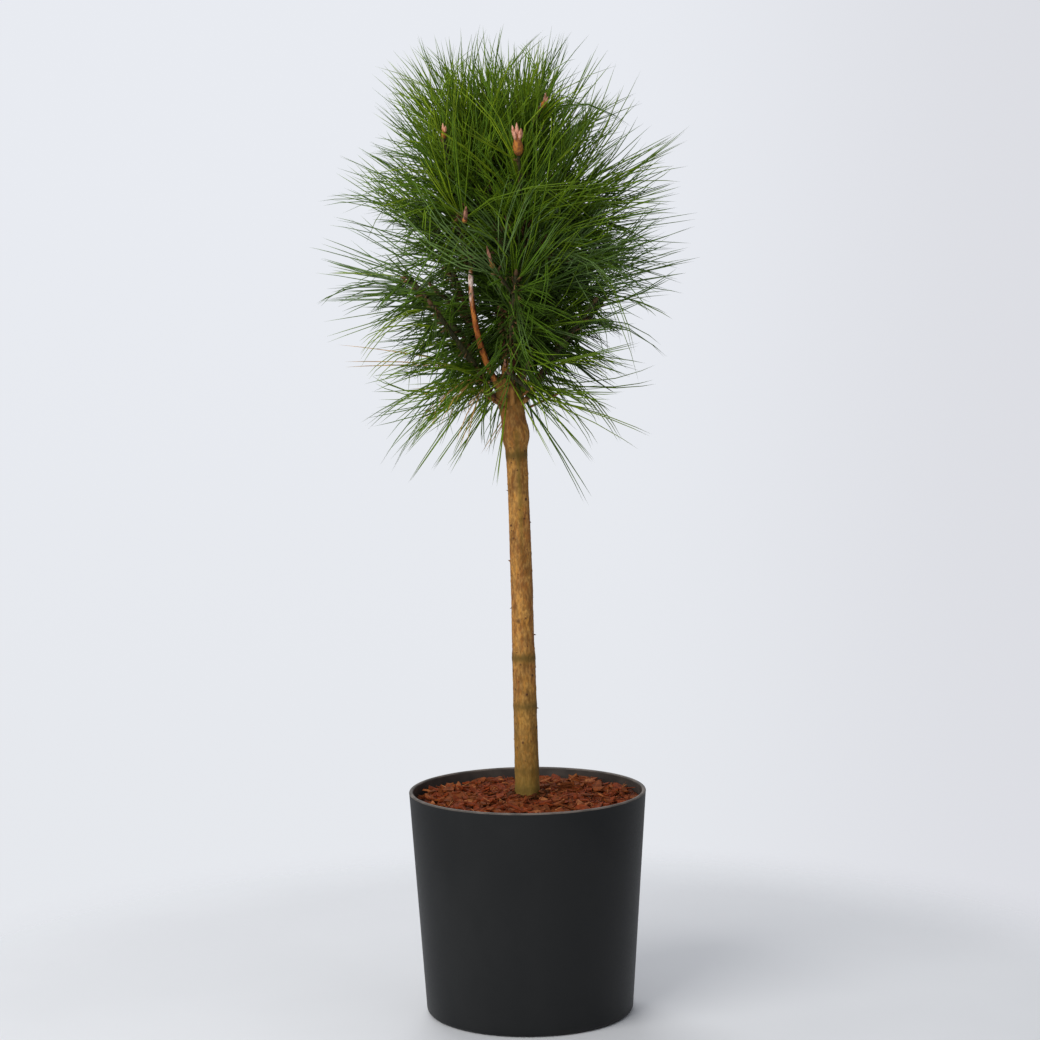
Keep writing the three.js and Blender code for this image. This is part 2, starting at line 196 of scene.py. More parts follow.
def make_sky():
    """A world whose colour fades upwards and to the right, and that lights the plant evenly all the same."""
    world = bpy.data.worlds.new("studio_sky")
    world.use_nodes = True
    tree = world.node_tree
    tree.nodes.clear()
    place = node(tree, "ShaderNodeTexCoord").outputs["Generated"]
    way = node(tree, "ShaderNodeSeparateXYZ", Vector=place).outputs
    plain = blend(tree, ramp(tree, way["Z"], -0.25, 0.05), SKY["low"], SKY["high"])
    seen = blend(tree, ramp(tree, way["X"], 0.02, 0.20), plain, SKY["right"])
    shown = node(tree, "ShaderNodeBackground", Color=seen, Strength=1.0)
    light = node(tree, "ShaderNodeBackground", Color=SKY["glow"], Strength=SKY["strength"])
    camera_ray = node(tree, "ShaderNodeLightPath").outputs["Is Camera Ray"]
    both = node(tree, "ShaderNodeMixShader", Fac=camera_ray)
    tree.links.new(light.outputs[0], both.inputs[1])
    tree.links.new(shown.outputs[0], both.inputs[2])
    tree.links.new(both.outputs[0], node(tree, "ShaderNodeOutputWorld").inputs["Surface"])
    return world


bpy.context.scene.world = make_sky()
bpy.context.scene.view_settings.view_transform = "Standard"


# %% [markdown]
# ## Ways to make a surface
#
# Every new piece is a grid of points: rings of corners that follow a path. A turned pot is one such grid, a
# trunk another, and a thousand needles are a thousand small ones that are worked out in the same few lines,
# because numpy treats the list of paths as one array.

# %% Grids, turned surfaces and tubes
def grid_faces(rows, columns):
    """The four-cornered faces of a grid whose last column joins the first. They face outwards where the
    columns run anticlockwise about the way that the rows go."""
    row = np.arange(rows - 1)[:, None] * columns
    column = np.arange(columns)[None, :]
    following = (column + 1) % columns
    corners = (row + column, row + following, row + columns + following, row + columns + column)
    return np.stack(corners, -1).reshape(-1, 4)


def closed_grid(rings, start, end):
    """Rings of points (tubes, rings, corners, 3) closed by fans to a start and an end point (tubes, 3)."""
    tubes, rows, columns = rings.shape[:3]
    points = np.concatenate([start[:, None], rings.reshape(tubes, -1, 3), end[:, None]], 1)
    corner = np.arange(columns)
    following = (corner + 1) % columns
    last = 1 + (rows - 1) * columns
    foot = np.stack([0 * corner, 1 + following, 1 + corner], -1)
    top = np.stack([last + corner, last + following, 0 * corner + last + columns], -1)
    shift = (np.arange(tubes) * points.shape[1])[:, None, None]
    quads = (1 + grid_faces(rows, columns) + shift).reshape(-1, 4)
    fans = (np.concatenate([foot, top]) + shift).reshape(-1, 3)
    return points.reshape(-1, 3), [quads, fans]


def turned(radii, heights, sides):
    """A turned surface. Its profile is radii and heights from pole to pole. Corner j of a ring lies at
    (r cos a, r sin a, z) with a = j full turns / sides. Either list may give each corner its own value."""
    angle = full_turn(sides)
    radii, heights = (np.broadcast_to(v.reshape(len(v), -1), (len(v), sides)) for v in (radii, heights))
    rings = xyz(radii * np.cos(angle), radii * np.sin(angle), heights)[None, 1:-1]
    poles = [np.array([[0, 0, h[0]]]) for h in (heights[0], heights[-1])]
    return closed_grid(rings, *poles)


def tubes(paths, sideways, radii):
    """Closed tubes, one along each path of points (tubes, points, 3), all at once. The first and last
    points close a tube, and each point between has a ring: corner j lies radii[j] from it, turned j equal
    steps from "sideways" (tubes, 3) about the path."""
    along = unit(paths[:, 2:] - paths[:, :-2])
    v = unit(np.cross(along, sideways[:, None]))[:, :, None]
    u = np.cross(v, along[:, :, None])
    angle = full_turn(radii.shape[-1])[:, None]
    rings = paths[:, 1:-1, None] + radii[..., None] * (u * np.cos(angle) + v * np.sin(angle))
    return closed_grid(rings, paths[:, 0], paths[:, -1])


def at_points(values):
    """A value for each ring corner as a value for each point of a closed tube."""
    return np.concatenate([values[0, :1], values.ravel(), values[-1, :1]])


def piece(name, shape, material, replaces=(), smooth=True, marks=None):
    """A finished piece of the plant, from points in millimetres and faces, with marks at its points."""
    points, faces = shape
    mesh = bpy.data.meshes.new(name)
    mesh.from_pydata(points * MM, [], [face for part in faces for face in part.tolist()])
    mesh.polygons.foreach_set("use_smooth", np.full(len(mesh.polygons), smooth))
    for mark, values in (marks or {}).items():
        layer = mesh.attributes.new(mark, "FLOAT", "POINT")
        layer.data.foreach_set("value", values.astype(np.float32))
    mesh.materials.append(material)
    made = placed(name, mesh)
    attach(made, "root")
    if replaces:
        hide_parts(*replaces)
    print(f"{name}: {sum(len(part) * (part.shape[1] - 2) for part in faces)} triangles")


# %% Chance and noise
def chance(a, b, c):
    """A fixed random number from 0 to 1 for each set of counters: what stands after the point in
    sin(12.9898 a + 78.233 b + 37.719 c) times 43758.5453."""
    s = np.sin(a * 12.9898 + b * 78.233 + c * 37.719) * 43758.5453
    return s - np.floor(s)


def noise(places, seed=0):
    """Smooth noise from -1 to 1: random numbers on the corners of unit cells, blended by the smooth step of
    how far into its cell a place lies."""
    cell = np.floor(places)
    t = places - cell
    t = t * t * (3 - 2 * t)
    total = np.zeros(places.shape[:-1])
    for corner in np.ndindex(2, 2, 2):
        x, y, z = np.moveaxis(cell + corner, -1, 0)
        total += chance(x + seed, y, z) * np.prod(np.where(corner, t, 1 - t), -1)
    return 2 * total - 1


# %% [markdown]
# ## Effects that several finishes share
#
# Plastic, bark, chips and needles are all slightly uneven. Two node groups give that: one mottles a colour
# with a stretched noise, the other gives a fine grain as a height and a roughness. Each material places them
# with its own numbers, so they are built once.

# %% The two shared node groups
def new_group(name, inputs, outputs):
    """An empty shader group with the named inputs (type and first value) and outputs (type)."""
    group = bpy.data.node_groups.new(name, "ShaderNodeTree")
    for socket, (kind, value) in inputs.items():
        made = group.interface.new_socket(socket, in_out="INPUT", socket_type="NodeSocket" + kind)
        made.default_value = value
    for socket, kind in outputs.items():
        group.interface.new_socket(socket, in_out="OUTPUT", socket_type="NodeSocket" + kind)
    return group, group.nodes.new("NodeGroupInput").outputs, group.nodes.new("NodeGroupOutput").inputs


def stretched_noise(tree, scale, stretch, detail=3.0):
    """Noise on the piece's own coordinates, drawn out upwards where stretch is under 1."""
    place = node(tree, "ShaderNodeTexCoord").outputs["Object"]
    pull = node(tree, "ShaderNodeCombineXYZ", X=1.0, Y=1.0, Z=stretch)
    drawn = node(tree, "ShaderNodeVectorMath", {"operation": "MULTIPLY"})
    tree.links.new(place, drawn.inputs[0])
    tree.links.new(pull.outputs[0], drawn.inputs[1])
    options = {"Vector": drawn.outputs[0], "Scale": scale, "Detail": detail}
    return node(tree, "ShaderNodeTexNoise", **options).outputs["Fac"]


def make_mottle():
    """Colour A with patches of colour B: the share of B is a smooth step of the noise about the middle."""
    inputs = {"A": ("Color", (1, 1, 1, 1)), "B": ("Color", (0, 0, 0, 1)), "Scale": ("Float", 100.0)}
    inputs |= {"Stretch": ("Float", 1.0), "Amount": ("Float", 1.0)}
    group, given, out = new_group("mottle", inputs, {"Color": "Color"})
    patches = ramp(group, stretched_noise(group, given["Scale"], given["Stretch"]), 0.38, 0.62)
    share = times(group, patches, given["Amount"])
    group.links.new(blend(group, share, given["A"], given["B"]), out["Color"])
    return group


def make_grain():
    """A fine grain: the noise itself as a height, and carried over to a range of roughness."""
    inputs = {"Scale": ("Float", 1000.0), "Stretch": ("Float", 1.0)}
    inputs |= {"Smooth": ("Float", 0.4), "Rough": ("Float", 0.7)}
    group, given, out = new_group("grain", inputs, {"Height": "Float", "Roughness": "Float"})
    height = stretched_noise(group, given["Scale"], given["Stretch"], 4.0)
    group.links.new(height, out["Height"])
    group.links.new(ramp(group, height, 0.3, 0.7, given["Smooth"], given["Rough"]), out["Roughness"])
    return group


MOTTLE = make_mottle()
GRAIN = make_grain()


# %% The grains: how fine, the range of roughness, how strong and deep in metres, and how drawn out upwards
GRAINS = {
    "plastic": (1400.0, 0.42, 0.56, 0.10, 0.0004, 1.0),
    "soil": (500.0, 0.8, 1.0, 0.6, 0.002, 1.0),
    "chip": (900.0, 0.7, 0.95, 0.5, 0.0008, 1.0),
    "trunk": (1300.0, 0.62, 0.85, 0.55, 0.0006, 0.3),
    "bough": (1500.0, 0.5, 0.8, 0.5, 0.0005, 0.4),
    "bud": (1800.0, 0.45, 0.7, 0.4, 0.0004, 0.4),
    "needle": (1200.0, 0.42, 0.58, 0.15, 0.0003, 1.0),
}


# %% Materials to start from
def new_material(name, gloss=0.22):
    """A new material, its node tree and its Principled shader, with its level of gloss."""
    material = bpy.data.materials.new(name)
    material.use_nodes = True
    shader = material.node_tree.nodes["Principled BSDF"]
    shader.inputs["Specular IOR Level"].default_value = gloss
    return material, material.node_tree, shader


def mottle(tree, first, second, scale, stretch=1.0, amount=1.0):
    """Places the mottle group and gives its colour."""
    made = node(tree, "ShaderNodeGroup", {"node_tree": MOTTLE}, Scale=scale, Stretch=stretch, Amount=amount)
    fill(tree, made.inputs["A"], first)
    fill(tree, made.inputs["B"], second)
    return made.outputs["Color"]


def finish(tree, shader, colour, grain):
    """Gives the shader its colour and, from the grain group, its roughness and its bumpy normal."""
    scale, smooth, rough, strength, distance, stretch = GRAINS[grain]
    fill(tree, shader.inputs["Base Color"], colour)
    made = node(tree, "ShaderNodeGroup", {"node_tree": GRAIN}, Scale=scale, Stretch=stretch)
    made.inputs["Smooth"].default_value = smooth
    made.inputs["Rough"].default_value = rough
    bump = node(tree, "ShaderNodeBump", Strength=strength, Distance=distance, Height=made.outputs["Height"])
    tree.links.new(made.outputs["Roughness"], shader.inputs["Roughness"])
    tree.links.new(bump.outputs["Normal"], shader.inputs["Normal"])


def plain_finish(name, colour, patches, mottled, grain, gloss=0.22):
    """A material of one mottled colour with a grain. What is mottled is its scale, stretch and amount."""
    material, tree, shader = new_material(name, gloss)
    finish(tree, shader, mottle(tree, colour, patches, *mottled), grain)
    return material


def mark(tree, name):
    """A value that was worked out at the piece's points."""
    return node(tree, "ShaderNodeAttribute", {"attribute_name": name}).outputs["Fac"]


# %% The floor, which fades into the sky
FLOOR = {"reach": 1.0, "fade": (0.40, 0.62), "sides": 96, "roughness": 0.6}
FLOOR |= {"color": (0.70, 0.715, 0.75), "patches": (0.68, 0.695, 0.73)}


def make_floor():
    """A round sheet under the pot. Its material grows clear towards the edge."""
    material, tree, shader = new_material("pale_floor")
    fill(tree, shader.inputs["Base Color"], mottle(tree, FLOOR["color"], FLOOR["patches"], 3.0))
    shader.inputs["Roughness"].default_value = FLOOR["roughness"]
    away = node(tree, "ShaderNodeVectorMath", {"operation": "LENGTH"})
    tree.links.new(node(tree, "ShaderNodeTexCoord").outputs["Object"], away.inputs[0])
    fill(tree, shader.inputs["Alpha"], ramp(tree, away.outputs["Value"], *FLOOR["fade"], 1.0, 0.0))
    angle = full_turn(FLOOR["sides"])
    mesh = bpy.data.meshes.new("floor")
    mesh.from_pydata(xyz(np.cos(angle), np.sin(angle), 0) * FLOOR["reach"], [], [list(range(len(angle)))])
    mesh.materials.append(material)
    floor = placed("floor", mesh)


make_floor()

# %% [markdown]
# ## Pot
#
# A plain round grower's pot of matt near-black plastic, moulded in one piece: a straight taper, a narrow
# rounded lip, a small round at the foot. It is turned, so one profile from the middle of the underside round
# to the middle of the floor inside makes it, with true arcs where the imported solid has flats.

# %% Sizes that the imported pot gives, in millimetres
_, high = (np.array(corner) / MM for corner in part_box("pot"))
POT = {"height": high[2], "rim": high[0], "foot": 83.0, "wall": 3.0}
POT |= {"lip": 1.3, "round": 4.5, "recess": 1.4, "recess_radius": 70.0}
print("pot:", {key: round(float(value), 1) for key, value in POT.items()})


def pot_radius(z):
    """The pot's outer radius at a height: a straight taper from foot to rim."""
    return mix(POT["foot"], POT["rim"], z / POT["height"])


# %% The pot's profile
def arc(centre, radius, start, end, count):
    """Points on an arc from one angle to another, in degrees, as rows of radius and height."""
    angle = np.radians(np.linspace(start, end, count))
    return np.stack([centre[0] + radius * np.cos(angle), centre[1] + radius * np.sin(angle)], -1)


def pot_profile():
    """Underside with a shallow recess, round foot, outer wall, lip, inner wall and inner floor."""
    height, lip, wall, foot_round = POT["height"], POT["lip"], POT["wall"], POT["round"]
    recess, edge = POT["recess"], POT["recess_radius"]
    outer = pot_radius(height) - lip
    walls = np.linspace(foot_round, height - lip - 1, 30)[1:]
    inner = np.linspace(height - lip - 1, 2 * wall, 20)
    parts = [
        [[0, recess], [edge - 2, recess], [edge - 1, recess - 0.3], [edge, 0.3], [edge + 1, 0]],
        arc((pot_radius(foot_round) - foot_round, foot_round), foot_round, -90, -4, 9),
        np.stack([pot_radius(walls), walls], -1),
        arc((outer, height - lip), lip, 0, 90, 7),
        arc((outer - wall + 2 * lip - 0.2, height - lip), lip, 90, 180, 7),
        np.stack([pot_radius(inner) - wall, inner], -1),
        [[pot_radius(wall) - wall - 3, wall], [0, wall]],
    ]
    return np.concatenate([np.array(part, float) for part in parts])


# %% The pot's plastic: a fine moulded grain, faint scuffs, dust inside, and a lip painted paler
def pot_plastic():
    """Mottled near-black, with the marks "inside" and "lip" blending in the dusty colour and a paler colour
    for the lip.
    """
    material, tree, shader = new_material("matt_black_plastic", 0.17)
    body = mottle(tree, (0.0090, 0.0098, 0.0106), (0.0118, 0.0126, 0.0133), 14.0, 0.6)
    dusty = mottle(tree, (0.040, 0.034, 0.031), (0.062, 0.051, 0.045), 45.0)
    # The lip is painted paler than the body all round.
    pale_lip = mottle(tree, (0.130, 0.110, 0.098), (0.070, 0.062, 0.056), 60.0)
    sides = blend(tree, mark(tree, "inside"), body, dusty)
    finish(tree, shader, blend(tree, mark(tree, "lip"), sides, pale_lip), "plastic")
    return material


POT_SIDES = 224
pot = pot_profile()
is_lip = (pot[:, 1] > POT["height"] - 1.1) & (pot[:, 0] > POT["foot"])
is_inside = np.arange(len(pot)) > np.flatnonzero(is_lip)[-1]
marks = {"lip": is_lip, "inside": is_inside}
marks = {name: at_points(np.repeat(values[1:-1, None], POT_SIDES, 1)) for name, values in marks.items()}
shape = turned(pot[:, 0], pot[:, 1], POT_SIDES)
piece("pot_body", shape, pot_plastic(), ["pot"], marks=marks)

# %% [markdown]
# ## Potting mix and mulch
#
# The mix is hidden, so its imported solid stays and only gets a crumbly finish. On it lies a layer of
# reddish-brown bark: fine crumbs, flat flakes and thin shreds, a little higher at the right and round the
# trunk. A bumpy bed carries the layer. The flakes, crumbs and shreds are thousands of small closed tubes,
# strewn by a seeded chance and joined by colour, which is lighter than that many objects.

# %% The finish of the hidden potting mix
mix_finish = plain_finish("potting_mix", (0.020, 0.012, 0.008), (0.050, 0.028, 0.016), [260.0], "soil")
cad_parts["soil"].data.materials.clear()
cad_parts["soil"].data.materials.append(mix_finish)

# %% The bed: the mulch's upper surface as a height for every place
low, high = (np.array(corner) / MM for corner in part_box("mulch"))
MULCH = {"low": low[2], "top": 173.4, "edge": high[0] - 0.6, "inner": 9.5, "rings": 44, "sides": 150}
MULCH |= {"dish": 2.4, "tilt": 1.2, "heap": 2.8, "heap_spread": 15}
LUMPS = {"size": 17, "height": 1.6}
CRUMBS = {"size": 4.2, "height": 0.9}


def bed_height(x, y):
    """The top level, less a smooth dish towards the wall, plus a rise to the right, a heap round the trunk
    and two sizes of noise. Rise and noise are calm at the trunk."""
    away = np.hypot(x, y)
    lumps = noise(xyz(x / LUMPS["size"], y / LUMPS["size"], 0), 3) * LUMPS["height"]
    crumbs = noise(xyz(x / CRUMBS["size"], y / CRUMBS["size"], 5), 8) * CRUMBS["height"]
    calm = np.clip((away - 7) / 14, 0, 1)
    tilt = MULCH["tilt"] * (x / MULCH["edge"]) * calm
    heap = MULCH["heap"] * bell(away, 0, MULCH["heap_spread"])
    dish = MULCH["dish"] * (away / MULCH["edge"]) ** 2
    return MULCH["top"] + heap - dish + tilt + (lumps + crumbs) * calm


angle = full_turn(MULCH["sides"])
reach = np.linspace(0, 1, MULCH["rings"])[::-1, None] * MULCH["edge"] + 0 * angle
levels = bed_height(reach * np.cos(angle), reach * np.sin(angle))
floor_ring = np.full((1, MULCH["sides"]), MULCH["low"])
radii = np.concatenate([0 * floor_ring, MULCH["edge"] + 0 * floor_ring, reach])
bed = turned(radii, np.concatenate([floor_ring, floor_ring, levels]), MULCH["sides"])


# %% The bark finishes: a body colour, broken faces of another shade, and a fibrous grain
def bark_chip(name, colour, broken, scale=240.0):
    """A chip's material, with the broken faces' colour in small patches."""
    return plain_finish(name, colour, broken, (scale, 1.0, 0.8), "chip", 0.10)


fines = bark_chip("mulch_fines", (0.045, 0.012, 0.005), (0.115, 0.027, 0.009))
piece("mulch_bed", bed, fines, ["mulch"])


# %% Where a layer of loose bits lies
def strewn(count, lift, half_length, outer=None):
    """Places on the bed at even chance over its area, clear of trunk and wall, lifted by up to so much."""
    turn = 2 * np.pi * DICE.random(count)
    inner = MULCH["inner"] + half_length
    outer = (outer or MULCH["edge"] - 0.6) - half_length
    r = np.sqrt(mix(inner**2, outer**2, DICE.random(count)))
    x, y = r * np.cos(turn), r * np.sin(turn)
    return xyz(x, y, bed_height(x, y) + lift * DICE.random(count))


def tilted(count, most):
    """Three unit vectors for each bit: its long way, its width and its upper side. The upper side is tilted
    by chance, seldom more than "most" degrees."""
    turn = 2 * np.pi * DICE.random(count)
    tilt = np.radians(most) * DICE.normal(0, 0.5, (count, 2))
    up = unit(xyz(tilt[:, 0], tilt[:, 1], 1.0))
    way = xyz(np.cos(turn), np.sin(turn), 0)
    way = unit(way - up * (way * up).sum(-1, keepdims=True))
    return way, np.cross(up, way), up


# %% Flakes: flat slabs with a broken outline, slightly bent
def flakes(count, length, slim, thick, lift, outer=None):
    """Corner j of a flake's outline lies at a r(j) along its length and b r(j) across it, on an ellipse of
    half length a and half width b, with each r(j) broken by chance. It is as thick as given."""
    half = mix(*length, DICE.random(count) ** 1.5) / 2
    b = half * mix(*slim, DICE.random(count))
    place = strewn(count, lift, half, outer)
    way, across, up = tilted(count, 30)
    corners = 9
    turn = full_turn(corners)
    broken = mix(0.7, 1.15, DICE.random((count, 1, corners, 1)))
    deep = mix(*thick, DICE.random(count))[:, None, None, None]
    layer = np.array([-0.5, 0.5])[None, :, None, None]
    along = (half[:, None] * np.cos(turn))[:, None, :, None] * way[:, None, None]
    aside = (b[:, None] * np.sin(turn))[:, None, :, None] * across[:, None, None]
    bend = (np.cos(turn) ** 2)[None, None, :, None] * deep * mix(-1.2, 1.2, DICE.random((count, 1, 1, 1)))
    rings = place[:, None, None] + (along + aside) * broken + up[:, None, None] * (deep * layer + bend)
    middle = up * deep[:, 0, 0] / 2
    return closed_grid(rings, place - middle, place + middle)


# Each kind's colour, its broken faces' colour, and how many there are. The last lie at the trunk's foot.
CHIPS = {
    "red": ((0.200, 0.036, 0.008), (0.090, 0.018, 0.005), 330),
    "brown": ((0.105, 0.027, 0.007), (0.205, 0.050, 0.010), 260),
    "tan": ((0.310, 0.110, 0.036), (0.200, 0.050, 0.017), 70),
    "dark": ((0.060, 0.018, 0.006), (0.120, 0.034, 0.010), 90),
}
LARGE = {"length": (6, 20), "slim": (0.28, 0.62), "thick": (0.5, 1.9), "lift": 3.4}
SMALL = {"length": (3, 8), "slim": (0.3, 0.7), "thick": (0.6, 1.6), "lift": 3.6, "outer": 19.0}
for name, (colour, broken, count) in CHIPS.items():
    shape = flakes(count, **(SMALL if name == "dark" else LARGE))
    finished = bark_chip("flakes_" + name, colour, broken)
    where = "at_foot" if name == "dark" else name
    piece("mulch_flakes_" + where, shape, finished, smooth=False)


# %% Crumbs and shreds
def crumbs(count, size, lift):
    """Small lumps: two close rings of five broken corners about the middle, between two points."""
    r = mix(*size, DICE.random(count) ** 2)[:, None]
    place = strewn(count, lift, r[:, 0])
    way, _, up = tilted(count, 60)
    steps = np.array([-0.7, -0.1, 0.1, 0.7])[:, None]
    paths = place[:, None] + up[:, None] * r[:, None] * steps
    return tubes(paths, way, r[:, None] * mix(0.7, 1.3, DICE.random((count, 2, 5))))


def shreds(count, length, radius, lift):
    """Fibres: slim tubes whose path is a parabola with a random bend to the side and upwards."""
    long = mix(*length, DICE.random(count) ** 1.4)[:, None, None]
    place = strewn(count, lift, long[:, 0, 0] / 2)
    way, across, up = tilted(count, 24)
    s = np.array([-1, -0.98, -0.5, 0, 0.5, 0.98, 1])[None, :, None]
    side, rise = DICE.normal(0, 0.16, (2, count, 1, 1))
    arch = (s**2 - 0.4) * long * (across[:, None] * side + up[:, None] * np.abs(rise))
    paths = place[:, None] + way[:, None] * s * long / 2 + arch
    thin = np.array([0.45, 0.9, 1, 0.9, 0.4])[None, :, None]
    return tubes(paths, up, mix(*radius, DICE.random((count, 1, 1))) * thin * np.ones((1, 1, 4)))


SHREDS = {
    "red": ((0.210, 0.042, 0.014), (0.100, 0.022, 0.008), 420),
    "tan": ((0.330, 0.130, 0.044), (0.210, 0.062, 0.021), 90),
}
for name, (colour, broken, count) in SHREDS.items():
    shape = shreds(count, (6, 22), (0.25, 0.62), 3.2)
    piece("mulch_shreds_" + name, shape, bark_chip("shreds_" + name, colour, broken))
fines = bark_chip("mulch_crumb_bark", (0.080, 0.020, 0.008), (0.175, 0.040, 0.014))
piece("mulch_crumbs", crumbs(1700, (0.5, 1.7), 1.8), fines, smooth=False)

# %% [markdown]
# ## Trunk
#
# The trunk is a tapered limb that leans a little to the left and swells at a collar just under the crown,
# where it was once cut back. The bark is young: tan and finely streaked, with small dark scars in a spiral
# where leaves stood, olive bands where growth paused, and a few broken stubs. It is one fine grid of rings,
# and the relief is added to every ring's radius, so that the scars show in outline too.

# %% The trunk's line and girth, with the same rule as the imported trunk
TRUNK = {"foot": 175.3, "top": 512.0, "foot_radius": 9.5, "top_radius": 8.2, "lean": 5.0, "kink": 8.0}
TRUNK |= {"flare": 0.9, "flare_height": 11.0, "collar_height": 463.0, "collar": 2.2, "collar_spread": 9.0}
TRUNK |= {"head": 2.0, "head_from": 452.0, "head_to": 476.0}
packed = [round(corner.z / MM, 1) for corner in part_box("trunk")]
print("trunk from", TRUNK["foot"], "to", TRUNK["top"], "and the packed one", packed)


def up_trunk(z):
    """How far up the trunk a height lies: 0 at its foot and 1 at its top."""
    return (z - TRUNK["foot"]) / (TRUNK["top"] - TRUNK["foot"])


def trunk_centre(z):
    """The trunk's middle at each height: it leans by a straight share and kinks by the eighth power of it."""
    t = up_trunk(z)
    return xyz(-TRUNK["lean"] * t - TRUNK["kink"] * t**8, 0, z)


def trunk_radius(z):
    """A straight taper, plus a flare that dies away above the foot, a bell at the collar and a wider head."""
    flare = TRUNK["flare"] * np.exp(-(z - TRUNK["foot"]) / TRUNK["flare_height"])
    collar = TRUNK["collar"] * bell(z, TRUNK["collar_height"], TRUNK["collar_spread"])
    head = TRUNK["head"] * smooth_step(z, TRUNK["head_from"], TRUNK["head_to"])
    return mix(TRUNK["foot_radius"], TRUNK["top_radius"], up_trunk(z)) + flare + collar + head


# %% The relief: streaks, scars and bands
SCARS = {"count": 170, "turn": 137.5, "strength": (0.10, 0.75), "width": (0.7, 1.7)}
KNOTS = {"count": 6, "turn": 2.4, "first": 4.3, "strength": (0.3, 0.6), "width": (2.0, 3.0)}
KNOTS |= {"height": (300, 505)}
# Each band's height, spread and strength. The last is the damp foot.
BANDS = [(449.0, 4.2, 1.0), (287.0, 4.4, 1.0), (248.0, 3.8, 0.8), (196.0, 3.0, 0.5), (180.0, 4.0, 0.8)]


def spots(z, angle, radius, scars):
    """Every scar's bell, exp(-d d), with d the distance over the bark in scar widths. Scars are rows of
    height, angle, width and strength. Gives the sum of the bells and the strongest of them."""
    total, deepest = np.zeros(z.shape), np.zeros(z.shape)
    for height, turn, width, strength in scars:
        aside = (np.mod(angle - turn + np.pi, 2 * np.pi) - np.pi) * radius
        spot = strength * np.exp(-(aside**2 + (z - height) ** 2) / width**2)
        total += spot
        deepest = np.maximum(deepest, spot)
    return total, deepest


def scar_rows():
    """Scars up the trunk in a spiral, with some heights and sizes by chance, then a few larger knots."""
    i, k = np.arange(SCARS["count"]), np.arange(KNOTS["count"])
    height = mix(TRUNK["foot"] + 16, TRUNK["top"] - 8, (i + DICE.random(len(i))) / len(i))
    turn = np.radians(i * SCARS["turn"]) + DICE.normal(0, 0.25, len(i))
    wide = mix(*SCARS["width"], DICE.random(len(i)) ** 2)
    strength = mix(*SCARS["strength"], DICE.random(len(i)) ** 1.5)
    where = mix(*KNOTS["height"], (k + 0.5) / len(k))
    knot_width = mix(*KNOTS["width"], chance(k, 1, 1))
    knot_strength = mix(*KNOTS["strength"], chance(k, 2, 1))
    large = [where, k * KNOTS["turn"] + KNOTS["first"], knot_width, knot_strength]
    return np.concatenate([np.stack([height, turn, wide, strength], -1), np.stack(large, -1)])


RINGS_UP, CORNERS_ROUND = 520, 104
z = np.linspace(TRUNK["foot"], TRUNK["top"] + 1.5, RINGS_UP)[:, None] + np.zeros(CORNERS_ROUND)
angle = np.broadcast_to(full_turn(CORNERS_ROUND), z.shape)
girth = trunk_radius(z)
around = xyz(girth * np.cos(angle), girth * np.sin(angle), z)
scar, scar_mark = spots(z, angle, girth, scar_rows())
band = sum(strength * bell(z, height, spread) for height, spread, strength in BANDS)
streaks = -np.abs(noise(around / (2.1, 2.1, 15), 4)) * 0.34 + noise(around / (5, 5, 34), 9) * 0.42
pits = noise(around / (0.9, 0.9, 1.4), 12) * 0.13
# The collar bulges at the right, and the bark over it is hollow at the left.
bulge = 0.5 * bell(z, TRUNK["collar_height"] + 2, 7) * np.clip(np.cos(angle - 0.2), 0, 1)
hollow = 1.6 * bell(z, TRUNK["collar_height"] + 6, 16) * np.clip(-np.cos(angle), 0, 1)
round_off = girth * smooth_step(z, TRUNK["top"] - 3, TRUNK["top"] + 3)
radii = girth + streaks + pits + 0.8 * scar + 0.35 * band + bulge - hollow - round_off

centres = trunk_centre(z[:, 0])
path = np.concatenate([centres[:1], centres, centres[-1:] + (0, 0, 0.4)])[None]
path[0, 0, 2] -= 0.01
shape = tubes(path, np.array([[1.0, 0, 0]]), radii[None])
# The moss is a pale green streak down the front under the collar, and a film about the foot and the head.
streak = bell(angle, math.radians(278), 0.22) * smooth_step(z, 360, 395) * falling(z, 462, 474)
film = 0.9 * np.exp(-(z - TRUNK["foot"]) / 22) + 0.35 * falling(z, 230, 300) + 0.5 * smooth_step(z, 470, 500)
marks = {"scar": scar_mark, "band": np.clip(band, 0, 1), "moss": np.clip(0.75 * streak + film, 0, 1)}
marks = {name: at_points(values) for name, values in marks.items()}


# %% The trunk's bark
def trunk_bark():
    """Tan with rosy, pale and dark flecks, over which the marks lay moss, olive bands and dark scars."""
    material, tree, shader = new_material("young_trunk_bark")
    tan = mottle(tree, (0.450, 0.205, 0.038), (0.200, 0.080, 0.014), 170.0, 0.3)
    rosy = mottle(tree, tan, (0.330, 0.115, 0.028), 62.0, 0.5, 0.55)
    pale = mottle(tree, rosy, (0.560, 0.320, 0.095), 420.0, 0.35, 0.4)
    flecked = mottle(tree, pale, (0.110, 0.050, 0.014), 560.0, 0.5, 0.5)
    mossy = blend(tree, times(tree, mark(tree, "moss"), 0.75), flecked, (0.150, 0.105, 0.014))
    banded = blend(tree, times(tree, mark(tree, "band"), 0.85), mossy, (0.100, 0.062, 0.010))
    scarred = blend(tree, ramp(tree, mark(tree, "scar"), 0.16, 0.55), banded, (0.070, 0.026, 0.010))
    finish(tree, shader, scarred, "trunk")
    return material


piece("trunk_bark", shape, trunk_bark(), ["trunk"], marks=marks)


# %% Broken stubs that stand off the trunk
STUBS = {"count": 34, "height": (205, 448), "turn": 2.39996, "first": 0.4, "rise": (-0.7, 0.9)}
STUBS |= {"length": (0.9, 2.8), "girth": (0.45, 0.95)}


